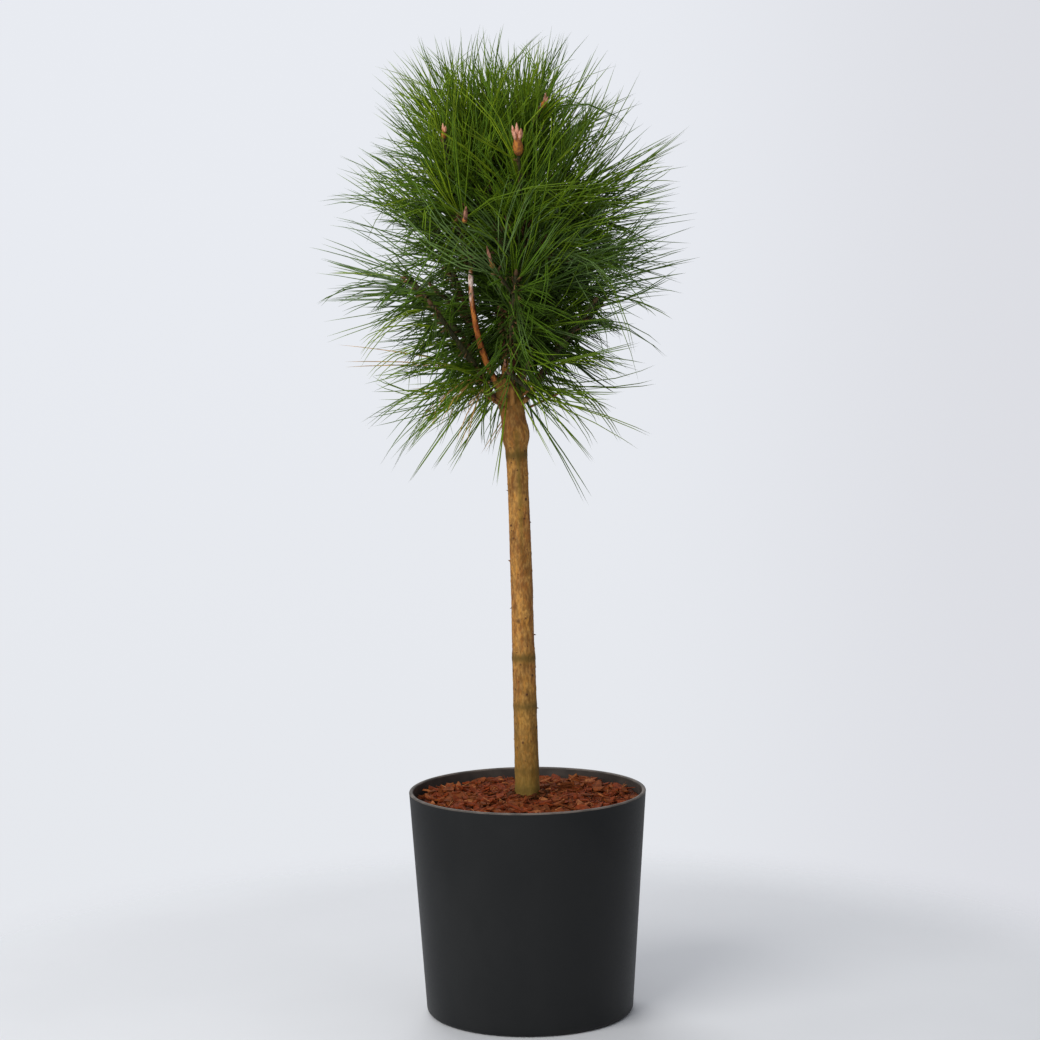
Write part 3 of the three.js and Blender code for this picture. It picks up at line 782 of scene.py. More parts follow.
def stubs():
    """Short thorns: slim cones that leave the bark outwards, some of them turned up and some down."""
    i = np.arange(STUBS["count"])
    z = mix(*STUBS["height"], (i + chance(i, 1, 7)) / len(i))
    turn = i * STUBS["turn"] + STUBS["first"]
    level = xyz(np.cos(turn), np.sin(turn), 0)
    out = unit(level + xyz(0, 0, mix(*STUBS["rise"], chance(i, 2, 7))))
    start = trunk_centre(z) + level * (trunk_radius(z)[:, None] - 0.6)
    long = mix(*STUBS["length"], chance(i, 3, 7) ** 2)[:, None, None]
    steps = np.array([0, 0.01, 0.5, 1.0])[None, :, None]
    paths = start[:, None] + out[:, None] * steps * long
    radii = mix(*STUBS["girth"], chance(i, 4, 7))[:, None, None] * np.array([1.0, 0.6])[None, :, None]
    return tubes(paths, np.cross(level, out + (0, 0, 0.3)), radii * np.ones((1, 1, 6)))


stub_bark = bark_chip("stub_bark", (0.130, 0.055, 0.026), (0.240, 0.110, 0.045), 500.0)
piece("trunk_stubs", stubs(), stub_bark)

# %% [markdown]
# ## The rule that the crown grows by
#
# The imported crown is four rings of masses: one on top, two rings that boughs carry, and a skirt that stands
# against the trunk. Each mass has a stem, twigs leave the stem in a spiral wherever they have room, and
# needles stand on both. The same rule is written here again and then carried further: side shoots leave the
# twigs, and the needles are as slim and as many as on the real plant. The crown's outline and each mass's
# own space are the same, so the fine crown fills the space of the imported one.

# %% Sizes of the crown, its limbs and shoots
CLEAR = 0.3
CROWN = {"x": -11, "z": 606, "side": 158, "up": 183, "down": 188, "up_power": 2.4, "down_power": 1.8}
CORE = {"side": 70, "up": 112, "down": 120}
BOUGH = {"taper": 0.62, "reach": 19}
STEM = {"radius": 2.5, "tip": 2.0, "sides": 5, "step": 8.4, "bare": 0.1, "twist": 34}
TWIG = {"radius": 2.1, "tip": 1.7, "sides": 4, "step": 7.6, "bare": 0.2, "twist": 40}
SIDE = {"radius": 1.5, "tip": 1.25, "sides": 4, "step": 6.0, "bare": 0.1, "twist": 40}
WEAK = STEM | {"radius": 1.1, "tip": 0.9, "lift": 16, "share": 0.5}
ROOT = 2.2  # height of the short bands between a shoot's plain ones
TWIGS = {"lengths": (46, 36, 26), "splay": 66, "pull": 0.3, "dice": 51}
SIDES = {"lengths": (34, 26, 19, 14), "splay": 52, "pull": 0.35, "dice": 77}
RINGS = [
    {"name": "top", "count": 1, "turn": 0, "start": TRUNK["top"] + CLEAR, "rise": 90, "thick": 4.4,
     "foot": (0, 596), "tip": (0, 694), "stagger": 0},
    {"name": "upper", "count": 6, "turn": 45, "start": 500, "rise": 50, "thick": 3.4,
     "foot": (39, 588), "tip": (62, 648), "stagger": 9},
    {"name": "lower", "count": 7, "turn": 18, "start": 488, "rise": 28, "thick": 3.2,
     "foot": (36, 532), "tip": (80, 580), "stagger": 11},
    {"name": "skirt", "count": 6, "turn": 0, "start": None, "rise": 0, "thick": 0,
     "foot": (0, 474), "tip": (64, 496), "stagger": 4},
]
PARTING = {"mass": "upper_4", "foot": 0.3, "end": 0.94, "half_width": 5.0, "wider": 3, "bow": 6.5}
PARTING |= {"room": 10}  # added to its half width for shoots, so that they keep further off


# %% The crown's outline
def from_middle(place, form):
    """How far over the crown's middle a place lies, and how far the form reaches on that side of it."""
    z = place[..., 2] - CROWN["z"]
    return z, np.where(z > 0, form["up"], form["down"])


def outward(place):
    """The direction out of the crown at a place: the slope of its rounded form."""
    z, high = from_middle(place, CROWN)
    side = CROWN["side"] ** 2
    return unit(xyz((place[..., 0] - CROWN["x"]) / side, place[..., 1] / side, z / high**2))


def crown_share(place):
    """How much of the crown's reach a place has used: 1 on its outline, less inside."""
    z, high = from_middle(place, CROWN)
    power = np.where(z > 0, CROWN["up_power"], CROWN["down_power"])
    across = np.hypot(place[..., 0] - CROWN["x"], place[..., 1]) / CROWN["side"]
    return (across**power + (np.abs(z) / high) ** power) ** (1 / power)


def core_share(place):
    """The same for the core that the shoots keep to, a needle's length inside the outline."""
    z, high = from_middle(place, CORE)
    return np.hypot(np.hypot(place[..., 0] - CROWN["x"], place[..., 1]) / CORE["side"], z / high)


# %% The masses
def against_trunk(z, along, tip):
    """Where a stem stands against the trunk: its upper edge, the nearest to the bark, just clears it."""
    upper_edge = z + STEM["radius"]
    side = trunk_centre(np.array(upper_edge)) + along * trunk_radius(upper_edge)
    side[2] = z
    return side + along * STEM["radius"] * unit(tip - side)[2]


def make_masses():
    """Each mass with its number, its stem's foot and tip, and the heart of its space between them."""
    masses = []
    for ring in RINGS:
        for k in range(ring["count"]):
            angle = math.radians(ring["turn"] + 360 * k / ring["count"])
            along = np.array([math.cos(angle), math.sin(angle), 0])
            lift = ring["stagger"] if k % 2 else -ring["stagger"]
            axis_at = np.array([CROWN["x"], 0, lift])
            foot, tip = (along * out + axis_at + (0, 0, up) for out, up in (ring["foot"], ring["tip"]))
            if ring["start"] is None:
                foot = against_trunk(ring["foot"][1] + lift, along, tip)
            name = f"{ring['name']}_{k + 1}" if ring["count"] > 1 else ring["name"]
            mass = {"name": name, "ring": ring, "along": along, "foot": foot, "tip": tip}
            masses.append(mass | {"number": len(masses) + 1, "heart": (foot + tip) / 2})
    return masses


MASSES = make_masses()
HEARTS = np.array([mass["heart"] for mass in MASSES])
MASS_NODES = ["needles_" + mass["name"] for mass in MASSES]
print("masses:", len(MASSES))


# %% The boughs: cubic curves from the trunk's side to the masses' feet
def bough_path(mass, count):
    """Points (1-t)^3 a + 3 (1-t)^2 t b + 3 (1-t) t^2 c + t^3 d. The curve leaves the trunk's side a at its
    ring's slope and comes to the mass's foot d in line with its stem. The bare bough also bows to the left,
    by its bow times sin(pi t)."""
    ring, along = mass["ring"], mass["along"]
    slope = math.radians(ring["rise"])
    side = TRUNK["top_radius"] - 2 if ring["start"] < TRUNK["top"] else 0
    a = trunk_centre(np.array(float(ring["start"]))) + along * side
    b = a + BOUGH["reach"] * (along * math.cos(slope) + np.array([0, 0, math.sin(slope)]))
    c = mass["foot"] - unit(mass["tip"] - mass["foot"]) * BOUGH["reach"]
    t = np.linspace(0, 1, count)[:, None]
    bow = PARTING["bow"] * np.sin(np.pi * t) * (mass["name"] == PARTING["mass"])
    curve = (1 - t) ** 3 * a + 3 * (1 - t) ** 2 * t * b + 3 * (1 - t) * t**2 * c + t**3 * mass["foot"]
    return curve - bow * np.array([1.0, 0, 0])


def bark_scales(along, angle, row, count):
    """Lozenge scales, 1 in the middle of each and 0 along the grooves: |cos(p + q) cos(p - q)| with p the
    way along the limb in rows of scales and q the turn round it, count scales to a full turn."""
    p = np.pi * along / row
    q = angle * count / 2
    return np.abs(np.cos(p + q) * np.cos(p - q))


CARRIED = [mass for mass in MASSES if mass["ring"]["start"] is not None]
BOUGH_RINGS, BOUGH_CORNERS = 120, 26
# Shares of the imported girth, and how far up the trunk's tan reaches. "rest" stands for the other boughs.
SLIM = {PARTING["mass"]: 0.84, "lower_5": 0.32, "lower_6": 0.6, "rest": 0.65}
TAN_TO = {PARTING["mass"]: 0.20, "lower_6": 0.40, "rest": 0.28}
t = np.linspace(0, 1, BOUGH_RINGS)[:, None]
angle = full_turn(BOUGH_CORNERS)
# The bare bough is painted darker at its right side and at its left edge: painted shade, as the light comes
# from the front left. Rusty adds a darker rust-red below the peel and near the foot.
right = np.cos(angle - math.pi / 4)
rusty = smooth_step(t, 0.50, 0.66) + falling(t, 0.20, 0.34)
painted_shade_and_rust = 0.45 * smooth_step(right, 0.3, 0.9) + 0.30 * falling(right, -1.0, -0.6) + 0.25 * rusty
paths, sideways, radii = [], [], []
marks = {"groove": [], "peel": [], "dull": [], "tan": []}
for mass in CARRIED:
    is_bare = mass["name"] == PARTING["mass"]
    slim, tan_to = (table.get(mass["name"], table["rest"]) for table in (SLIM, TAN_TO))
    path = bough_path(mass, BOUGH_RINGS)
    length = np.linalg.norm(path[1:] - path[:-1], axis=1).sum()
    scales = bark_scales(t * length, angle + 3 * t, 3.4, 6)
    lumps = noise(xyz(t * length / 7, np.cos(angle), np.sin(angle)), mass["number"])
    thick = mass["ring"]["thick"] * mix(1, BOUGH["taper"], t) * slim
    relief = 0.025 if is_bare else 0.09
    radii.append(thick * (1.03 - relief + relief * scales**0.6) + 0.26 * lumps)
    before = path[:1] - 0.01 * (path[1:2] - path[:1])
    beyond = path[-1:] + 0.01 * (path[-1:] - path[-2:-1])
    paths.append(np.concatenate([before, path, beyond]))
    sideways.append(np.array([-mass["along"][1], mass["along"][0], 0]))
    peel = smooth_step(t + 0.10 * lumps, 0.70, 0.79) * falling(t + 0.05 * lumps, 0.90, 0.97)
    # On the bare bough the groove mark also carries that painted shade and the rust-red.
    found = {"groove": (1 - scales) * 0.6 + painted_shade_and_rust if is_bare else 1 - scales, "peel": is_bare * peel}
    # Every bough but the bare one is painted near-black all over: painted shade among the needles.
    found |= {"dull": float(not is_bare), "tan": falling(t, tan_to - 0.14, tan_to)}
    for name, values in found.items():
        marks[name].append(at_points(values + 0 * scales))
shape = tubes(np.array(paths), np.array(sideways), np.array(radii))
marks = {name: np.concatenate(values) for name, values in marks.items()}


# %% The boughs' bark: scales and dark grooves, bright on the bare bough with painted shade at its sides, and painted near-black as shade among the needles
def scaly_bark(name, scale, between, groove, peeled, dull):
    """Mottled scales with the colour of the grooves between them, which on the bare bough is also its painted
    shade. The marks say where it is painted near-black as shade among the needles, where the trunk's tan
    reaches up, and where the scales have peeled off."""
    material, tree, shader = new_material(name)
    bright = mottle(tree, scale, between, 300.0, 0.35)
    body = blend(tree, mark(tree, "dull"), bright, mottle(tree, dull, groove, 210.0, 0.5))
    dark = ramp(tree, mark(tree, "groove"), 0.55, 0.95)
    tan = mottle(tree, (0.420, 0.200, 0.050), (0.270, 0.120, 0.028), 150.0, 0.22)
    scaled = blend(tree, mark(tree, "tan"), blend(tree, dark, body, groove), tan)
    papery = mottle(tree, peeled, between, 330.0, 0.6, 0.7)
    finish(tree, shader, blend(tree, mark(tree, "peel"), scaled, papery), "bough")
    return material


ORANGE, RUST, DARK = (0.56, 0.190, 0.038), (0.23, 0.055, 0.016), (0.085, 0.021, 0.010)
# PALE is the peeled bark. The other colour here is painted shade: a near-black olive for the boughs and
# shoots inside the crown.
PALE, PAINTED_SHADE_BARK = (1.00, 0.80, 0.71), (0.014, 0.023, 0.006)
bough_nodes = ["bough_" + mass["name"] for mass in CARRIED]
bough_bark = scaly_bark("scaly_bough_bark", ORANGE, RUST, DARK, PALE, PAINTED_SHADE_BARK)
piece("boughs_bark", shape, bough_bark, bough_nodes, marks=marks)


# %% Whether a place or a straight piece has room
def in_space(mass, place, margin):
    """Whether a place lies this far inside a mass's own space: nearer to its heart than to any other."""
    others = np.delete(HEARTS, mass["number"] - 1, 0)
    between = others - mass["heart"]
    middle = (others + mass["heart"]) / 2
    return bool((((place - middle) * between).sum(1) < -margin * np.linalg.norm(between, axis=1)).all())


def gaps(p, q, starts, ends):
    """Shortest distances from the straight piece p-q to each of many others: the two places are the ones
    where both lie square to the line between them, held inside both pieces."""
    d1, d2, r = q - p, ends - starts, p - starts
    dd1, dd2 = d1 @ d1, (d2 * d2).sum(1)
    c, f, m = r @ d1, (d2 * r).sum(1), d2 @ d1
    den = dd1 * dd2 - m * m
    s = np.where(den > 1e-9, np.clip((m * f - c * dd2) / np.maximum(den, 1e-9), 0, 1), 0)
    t = np.clip((m * s + f) / dd2, 0, 1)
    s = np.clip((m * t - c) / dd1, 0, 1)
    t = np.clip((m * s + f) / dd2, 0, 1)
    return np.linalg.norm(p + s[:, None] * d1 - starts - t[:, None] * d2, axis=1)


TRUNK_PARTS, BOUGH_PARTS = 48, 10


def make_limbs():
    """The trunk and boughs as short straight stretches: starts, ends, radii and the mass each one carries."""
    z = np.linspace(TRUNK["foot"], TRUNK["top"], TRUNK_PARTS + 1)
    lines, girths, carried = [trunk_centre(z)], [trunk_radius(z)[:-1]], [np.zeros(TRUNK_PARTS, int)]
    steps = np.arange(BOUGH_PARTS)
    for mass in CARRIED:
        lines.append(bough_path(mass, BOUGH_PARTS + 1))
        girths.append(mass["ring"]["thick"] * mix(1, BOUGH["taper"], steps / BOUGH_PARTS))
        carried.append(np.where(steps == BOUGH_PARTS - 1, mass["number"], 0))
    starts = np.concatenate([line[:-1] for line in lines])
    ends = np.concatenate([line[1:] for line in lines])
    return starts, ends, np.concatenate(girths), np.concatenate(carried)


LIMB_STARTS, LIMB_ENDS, LIMB_RADII, LIMB_CARRIES = make_limbs()
PARTED = next(mass for mass in MASSES if mass["name"] == PARTING["mass"])
PARTING_FOOT = bough_path(PARTED, 101)[round(100 * PARTING["foot"])]


def from_parted(places):
    """How far up the parted bough places stand, 0 to 1, and where they lie as seen from its line."""
    t = (places[..., 2] - PARTING_FOOT[2]) / (PARTED["foot"][2] - PARTING_FOOT[2])
    return t, places - mix(PARTING_FOOT, PARTED["foot"], t[..., None])


def in_parting(places, wider=0):
    """Whether places lie in the upright slot that opens the crown in front of the parted bough."""
    t, aside = from_parted(places)
    half_width = PARTING["half_width"] + PARTING["wider"] * smooth_step(t, 0.4, 0.9)
    beside = np.abs(aside[..., 0]) < half_width + wider
    return (t > 0) & (t < PARTING["end"]) & (aside[..., 1] < -half_width) & beside


def is_free(mass, p, q, radius):
    """Whether a straight piece keeps clear of the trunk, the boughs and the parting."""
    steps = np.array([0.25, 0.5, 0.75, 1])[:, None]
    near = gaps(p, q, LIMB_STARTS, LIMB_ENDS) < LIMB_RADII + radius + CLEAR
    touches = near & (LIMB_CARRIES != mass["number"])
    return not in_parting(mix(p, q, steps), PARTING["room"]).any() and not touches.any()


# %% Shoots: stems, twigs and side shoots
class Shoot:
    """A straight shoot with plain bands and short bands in turn, each whorl turned on from the one before."""

    def __init__(self, mass, start, axis, length, across, form, number):
        self.mass, self.start, self.axis, self.length = mass, start, axis, length
        self.across, self.form, self.number = across, form, number
        self.radius, self.tip = form["radius"], form["tip"]
        self.whorls = int(length * (1 - form["bare"]) / form["step"] + 0.5)
        self.bands = 2 * self.whorls + 1

    def at(self, height):
        """A place on the shoot's axis."""
        return self.start + self.axis * height

    def height(self, line):
        """How far up the shoot the line below a band lies."""
        if line in (0, self.bands):
            return self.length * (line > 0)
        middle = mix(self.form["bare"], 1, ((line - 1) // 2 + 0.5) / self.whorls)
        return middle * self.length + (-0.5 if line % 2 else 0.5) * ROOT

    def corner(self, line, i):
        """Corner i of the ring on the line below a band."""
        whorl = max(0, (line - 1) // 2)
        turn = math.radians(i * 360 / self.form["sides"] + whorl * self.form["twist"])
        height = self.height(line)
        side = self.across * math.cos(turn) + np.cross(self.axis, self.across) * math.sin(turn)
        return self.at(height) + side * mix(self.radius, self.tip, height / self.length)

    def face(self, band, i):
        """A face's first corner, its middle, and the direction that it faces."""
        corners = [self.corner(line, side) for line in (band, band + 1) for side in (i, i + 1)]
        middle = sum(corners) / 4
        aside = middle - self.start
        return corners[0], middle, unit(aside - self.axis * (aside @ self.axis))


def shoot_from(parent, band, form, rule):
    """The shoot that leaves a face of its parent, the longest that has room, or nothing where none has."""
    mass = parent.mass
    corner, middle, side = parent.face(band, band % parent.form["sides"])
    count = mass["number"] + 31 * parent.number
    splay = math.radians(rule["splay"] + mix(-8, 8, chance(count, band, rule["dice"])))
    leaving = side * math.sin(splay) + parent.axis * math.cos(splay)
    heading = unit(leaving + outward(middle) * rule["pull"])
    across = corner - middle
    across = unit(across - heading * (across @ heading))
    near = middle + heading * 2 * form["radius"]
    for length in rule["lengths"]:
        end = middle + heading * length
        inside = in_space(mass, end, 2 * form["radius"]) and in_space(mass, near, 2 * form["radius"])
        if inside and core_share(end) < 1 and is_free(mass, near, end, form["radius"]):
            return Shoot(mass, middle, heading, length, across, form, 40 * parent.number + band)
    return None


def grow(parents, form, rule):
    """Every shoot that leaves the plain bands of these parents in a spiral."""
    bands = [(parent, band) for parent in parents for band in range(2, parent.bands - 1, 2)]
    found = [shoot_from(parent, band, form, rule) for parent, band in bands]
    return [shoot for shoot in found if shoot]


def gathered(shoots, *names):
    """The named values of many shoots, each as one array."""
    return [np.array([getattr(shoot, name) for shoot in shoots]) for name in names]


def make_stem(mass):
    """A mass's stem, which goes on from its bough. A skirt's stem is a weak shoot of the trunk's head."""
    axis = unit(mass["tip"] - mass["foot"])
    start = mass["foot"] + axis * 0.1
    across = unit(np.cross(axis, (0, 1, 0)))
    length = np.linalg.norm(mass["tip"] - start)
    if mass["ring"]["start"] is None:
        return Shoot(mass, start + (0, 0, WEAK["lift"]), axis, length * WEAK["share"], across, WEAK, 0)
    return Shoot(mass, start, axis, length, across, STEM, 0)


stems = [make_stem(mass) for mass in MASSES]
twigs = grow(stems, TWIG, TWIGS)
sides = grow(twigs, SIDE, SIDES)
print("stems, twigs and side shoots:", len(stems), len(twigs), len(sides))

# %% [markdown]
# ## Leaders
#
# Some strong shoots end in candles, the long pale buds of the next growth, and the needles part in front of
# them. Each leader grows from the nearest stem to its bud. Its place is a real size, worked out from where
# the photograph shows the bud and how deep in the crown it stands.

# %% The leaders' sizes
# Where the bud stands, how many candles it has with their length and girth, the swelling below them, and
# how far needles keep aside of the bud and under it.
LEADER_KEYS = ("bud", "candles", "long", "radius", "swell", "slot", "clear")
LEADERS = [
    ((-1.6, -95, 694), 6, 13, 1.6, 4.4, 7, 13),
    ((19.8, -70, 722), 2, 8, 1.2, 2.2, 4, 3),
    ((-57.4, -75, 701), 3, 7, 1.2, 2.2, 4, 2),
    ((-41.3, -100, 632), 1, 15, 1.7, 2.2, 4, 2),
    ((-23.1, -95, 601), 1, 15, 1.4, 2.0, 3.5, 4),
    ((-13.2, -24, 520), 1, 8, 1.3, 1.9, 4, 4),
]
LEADERS = [dict(zip(LEADER_KEYS, row)) for row in LEADERS]
LEADERS[-1]["foot"] = (-12, -8, 509)


def make_leader(leader, number):
    """A shoot from the nearest stem, two thirds up it, to the bud. One bud stands on the trunk's head."""
    bud = np.array(leader["bud"], float)
    feet = np.array([stem.start + stem.axis * stem.length * 0.66 for stem in stems])
    nearest = int(np.linalg.norm(feet - bud, axis=1).argmin())
    foot = np.array(leader.get("foot", feet[nearest]), float)
    axis = unit(bud - foot)
    across = unit(np.cross(axis, (0, 1, 0.2)))
    slim = TWIG | {"radius": 1.3, "tip": 1.1}
    return Shoot(MASSES[nearest], foot, axis, np.linalg.norm(bud - foot), across, slim, 900 + number)


# Plain shoots that close the crown's top at the back, where no mass of twigs reaches.
BACK_ENDS = [(-44, 40, 684), (-22, 52, 690), (4, 50, 688), (-12, 34, 702), (22, 40, 676)]
backs = [make_leader({"bud": end}, 20 + i) for i, end in enumerate(BACK_ENDS)]
leaders = [make_leader(leader, i) for i, leader in enumerate(LEADERS)]
print("leaders, mm long:", [round(float(leader.length)) for leader in leaders])


# %% The shoots' bark, all shoots of a kind at once
def shoot_tubes(shoots, rings, corners):
    """Tapered tubes with the same lozenge scales as the boughs, finer, and rounded ends."""
    start, axis, across = gathered(shoots, "start", "axis", "across")
    length, radius, tip = (v[:, None, None] for v in gathered(shoots, "length", "radius", "tip"))
    t = np.linspace(0, 1, rings)[None, :, None]
    turn = full_turn(corners)
    scales = bark_scales(t * length, turn + 4 * t, 3.4, 3)
    radii = mix(radius, tip, t) * (0.88 + 0.2 * scales) * (1 - 0.5 * smooth_step(t, 0.97, 1.0))
    steps = np.concatenate([[[-0.004]], t[0], [[1.002]]])[None]
    paths = start[:, None] + axis[:, None] * steps * length
    ends = np.full((len(shoots), 1), 0.4)
    marks = {"groove": np.concatenate([ends, (1 - scales).reshape(len(shoots), -1), ends], 1).ravel()}
    return tubes(paths, across, radii), marks


# The shoots' scales are painted near-black olive as shade, so that stems, twigs and leaders sink into the
# crown's shade like the boughs.
PAINTED_SHADE_SHOOT_BARK = scaly_bark("shoot_bark", (0.060, 0.052, 0.018), (0.036, 0.032, 0.012), PAINTED_SHADE_BARK, PALE, PAINTED_SHADE_BARK)
FAIR_BARK = scaly_bark("fair_shoot_bark", (0.330, 0.150, 0.038), (0.200, 0.085, 0.022), DARK, PALE, PAINTED_SHADE_BARK)
strong = [stem for stem in stems if stem.form is STEM]
weak = [stem for stem in stems if stem.form is WEAK]
for name, shoots, bark, rings, corners in (
    ("stems_bark", strong + leaders, PAINTED_SHADE_SHOOT_BARK, 40, 12),
    ("skirt_stems_bark", weak, FAIR_BARK, 20, 10),
    ("twigs_bark", twigs + backs, PAINTED_SHADE_SHOOT_BARK, 24, 8),
    ("side_shoots_bark", sides, PAINTED_SHADE_SHOOT_BARK, 12, 6),
):
    shape, marks = shoot_tubes(shoots, rings, corners)
    piece(name, shape, bark, MASS_NODES, marks=marks)


# %% Buds: a slim spindle of overlapping scales on every shoot's end
def buds(feet, axes, sideways, longs, girths, rings, corners):
    """A spindle whose radius is sin(pi t^0.7) to the power 0.8 times its girth, with lozenge scales on it."""
    t = np.linspace(0, 1, rings + 2)[None, :, None]
    longs, girths = longs[:, None, None], girths[:, None, None]
    paths = feet[:, None] + axes[:, None] * t * longs
    inner = t[:, 1:-1]
    spindle = np.sin(np.pi * inner**0.7) ** 0.8
    scales = bark_scales(inner * longs, full_turn(corners), 2.3, 4)
    return tubes(paths, sideways, girths * spindle * (0.84 + 0.3 * scales))


def bud_scales(name, pale, dark, scale):
    """Papery scales: two colours in patches that are drawn out upwards."""
    return plain_finish(name, pale, dark, (scale, 0.6), "bud")


enders = twigs + sides + stems + backs
feet = np.array([shoot.at(shoot.length - 1) for shoot in enders])
axes, across, girth = gathered(enders, "axis", "across", "tip")
plain = buds(feet, axes, across, 3.2 * girth + 1, girth * 0.95, 5, 6)
brown = bud_scales("brown_bud", (0.110, 0.060, 0.026), (0.060, 0.036, 0.018), 700.0)
piece("buds", plain, brown)

# %% The leaders' swollen ends and candles
swells = np.array([leader["swell"] for leader in LEADERS])
axes, across = gathered(leaders, "axis", "across")
ends = np.array([shoot.at(shoot.length) for shoot in leaders])
swollen = buds(ends - axes * 3.6 * swells[:, None], axes, across, 4.2 * swells, swells * 0.9, 14, 14)
orange = bud_scales("orange_scales", (0.50, 0.19, 0.035), (0.24, 0.085, 0.03), 420.0)
piece("leader_ends", swollen, orange)

# The first candle of a leader stands in its line. The others lean out round it and are shorter.
CANDLE = {"turn": 2.39996, "out": 0.42, "upright": 1.1, "shorter": (0.15, 0.5), "aside": 1.3, "sunk": 2}
CANDLE_COLOURS = {
    "pink": ((0.66, 0.33, 0.23), (0.36, 0.14, 0.08)),
    "brown": ((0.40, 0.20, 0.13), (0.16, 0.065, 0.04)),
}
candles = {kind: [] for kind in CANDLE_COLOURS}
for number, (shoot, leader, end) in enumerate(zip(leaders, LEADERS, ends)):
    for k in range(leader["candles"]):
        turn = k * CANDLE["turn"]
        aside = shoot.across * math.cos(turn) + np.cross(shoot.axis, shoot.across) * math.sin(turn)
        out = float(k > 0)
        long = leader["long"] * (1 - out * mix(*CANDLE["shorter"], chance(number, k, 4)))
        up = unit(shoot.axis + aside * out * CANDLE["out"] + np.array([0, 0, CANDLE["upright"]]))
        foot = end + aside * out * leader["radius"] * CANDLE["aside"] - shoot.axis * CANDLE["sunk"]
        kind = "pink" if leader["candles"] > 2 else "brown"
        candles[kind].append((foot, up, aside + shoot.axis * 0.1, long, leader["radius"]))
for kind, (pale, dark) in CANDLE_COLOURS.items():
    shape = buds(*(np.array(values) for values in zip(*candles[kind])), 16, 12)
    piece("candles_" + kind, shape, bud_scales(kind + "_candle", pale, dark, 520.0))

# %% [markdown]
# ## Needles
#
# The needles of this pine stand in threes from a short brown sheath, and the longest are two thirds as long
# as the crown is half wide. They lean off the shoot less and less towards its end, so that each shoot is a
# brush, and they arch outwards and then down. A needle is a three-sided tube that tapers to a point. All of
# them are worked out at once, and dealt out to pieces by colour: fresh on top, dark inside, greyer below, a
# few dead ones. Part of that colour is painted light and shade: darker inside, at the very top and close in
# front of the bare bough, and lighter low down and at the lower sides.

# %% Where the bundles of needles stand
NEEDLE = {"longest": 108, "shortest": 58, "radius": 0.56, "bundle": 3, "pull": 1.0, "inner_pull": 0.35}
NEEDLE |= {"reach": (0.70, 1.03), "rare": 1.2, "common": 0.32, "low_reach": 0.16, "widest": 160}
NEEDLE |= {"fan": (-12, 0, 562), "flat": (0.36, 0.75), "upright": 0.9, "parting": 0.5}
NEEDLE |= {"front_depth": 0.5, "front_cross": 0.38, "stray": 0.12}
STRETCHES = 5  # straight stretches that carry the needles of a curved bough


def bough_stretches(mass):
    """The upper part of a bough as straight stretches that needles stand on."""
    path = bough_path(mass, 10 * STRETCHES + 1)[2:]
    path = path[:: len(path) // STRETCHES]
    form = TWIG | {"tip": mass["ring"]["thick"] * BOUGH["taper"]}
    made = []
    for start, end in zip(path[:-1], path[1:]):
        axis = unit(end - start)
        across = unit(np.cross(axis, (0.3, 1, 0)))
        made.append(Shoot(mass, start, axis, np.linalg.norm(end - start), across, form, 0))
    return made


stretches = sum((bough_stretches(mass) for mass in CARRIED if mass is not PARTED), [])
bared = next(mass for mass in CARRIED if mass["name"] == "lower_5")
in_front = [s for s in stretches if s.mass is bared]
at_side = [s for s in twigs + sides if s.start[0] > 12 and 565 < s.start[2] < 630]
HEAD = {"from": 497.0, "to": 513.0, "radius": 10.0}
head_form = STEM | {"radius": HEAD["radius"], "tip": HEAD["radius"]}
head_foot = trunk_centre(np.array(HEAD["from"]))
upwards, rightwards = np.array([0, 0, 1.0]), np.array([1.0, 0, 0])
head = Shoot(MASSES[0], head_foot, upwards, HEAD["to"] - HEAD["from"], rightwards, head_form, 0)
# Each kind with the height between its bundles, the bare share at its foot, the lean in degrees off the
# shoot that its needles have at its foot and at its end, and their share of the full length. The last
# three are old needles, short and dark, that fill the inside in every direction.
FOLIAGE = [
    (stems, 2.2, 0.0, (60, 16), 1.0),
    (twigs, 3.0, 0.15, (62, 16), 1.0),
    (sides, 2.8, 0.1, (62, 16), 1.0),
    (leaders, 1.3, 0.0, (45, 30), 1.0),
    (stretches, 1.2, 0.0, (34, 26), 1.0),
    ([head], 0.6, 0.0, (105, 70), 1.0),
    (in_front, 0.8, 0.0, (85, 60), 1.0),
    (backs, 1.5, 0.3, (62, 16), 1.0),
    (at_side, 2.2, 0.2, (50, 16), 1.0),
    (stretches, 0.8, 0.0, (95, 70), 0.5),
    (stretches[:STRETCHES], 0.35, 0.0, (95, 70), 0.5),
    (strong, 1.3, 0.0, (100, 80), 0.45),
]


def bundles_on(shoots, step, bare, leans, share):
    """Bundles in a golden spiral up each shoot, closer together in the crown's top: their feet, shoot axes,
    sides, how far they lean off, and their share of the full length."""
    start, axis, across, length, radius = gathered(shoots, "start", "axis", "across", "length", "tip")
    closer = mix(1, 0.5, smooth_step(start[:, 2], 630, 680))
    counts = np.maximum(3, length * (1 - bare) / step / closer).astype(int)
    owner = np.repeat(np.arange(len(shoots)), counts)
    start, axis, across, length, radius = (v[owner] for v in (start, axis, across, length, radius))
    k = np.arange(counts.sum()) - np.repeat(np.cumsum(counts) - counts, counts)
    t = mix(bare, 1, (k + 0.5) / counts[owner])
    turn = k * GOLDEN + 2 * np.pi * chance(owner, 3, 5)
    side = across * np.cos(turn)[:, None] + np.cross(axis, across) * np.sin(turn)[:, None]
    foot = start + axis * (t * length)[:, None] + side * (radius * 0.8)[:, None]
    return foot, axis, side, mix(*leans, t**0.8), np.full(len(t), share)


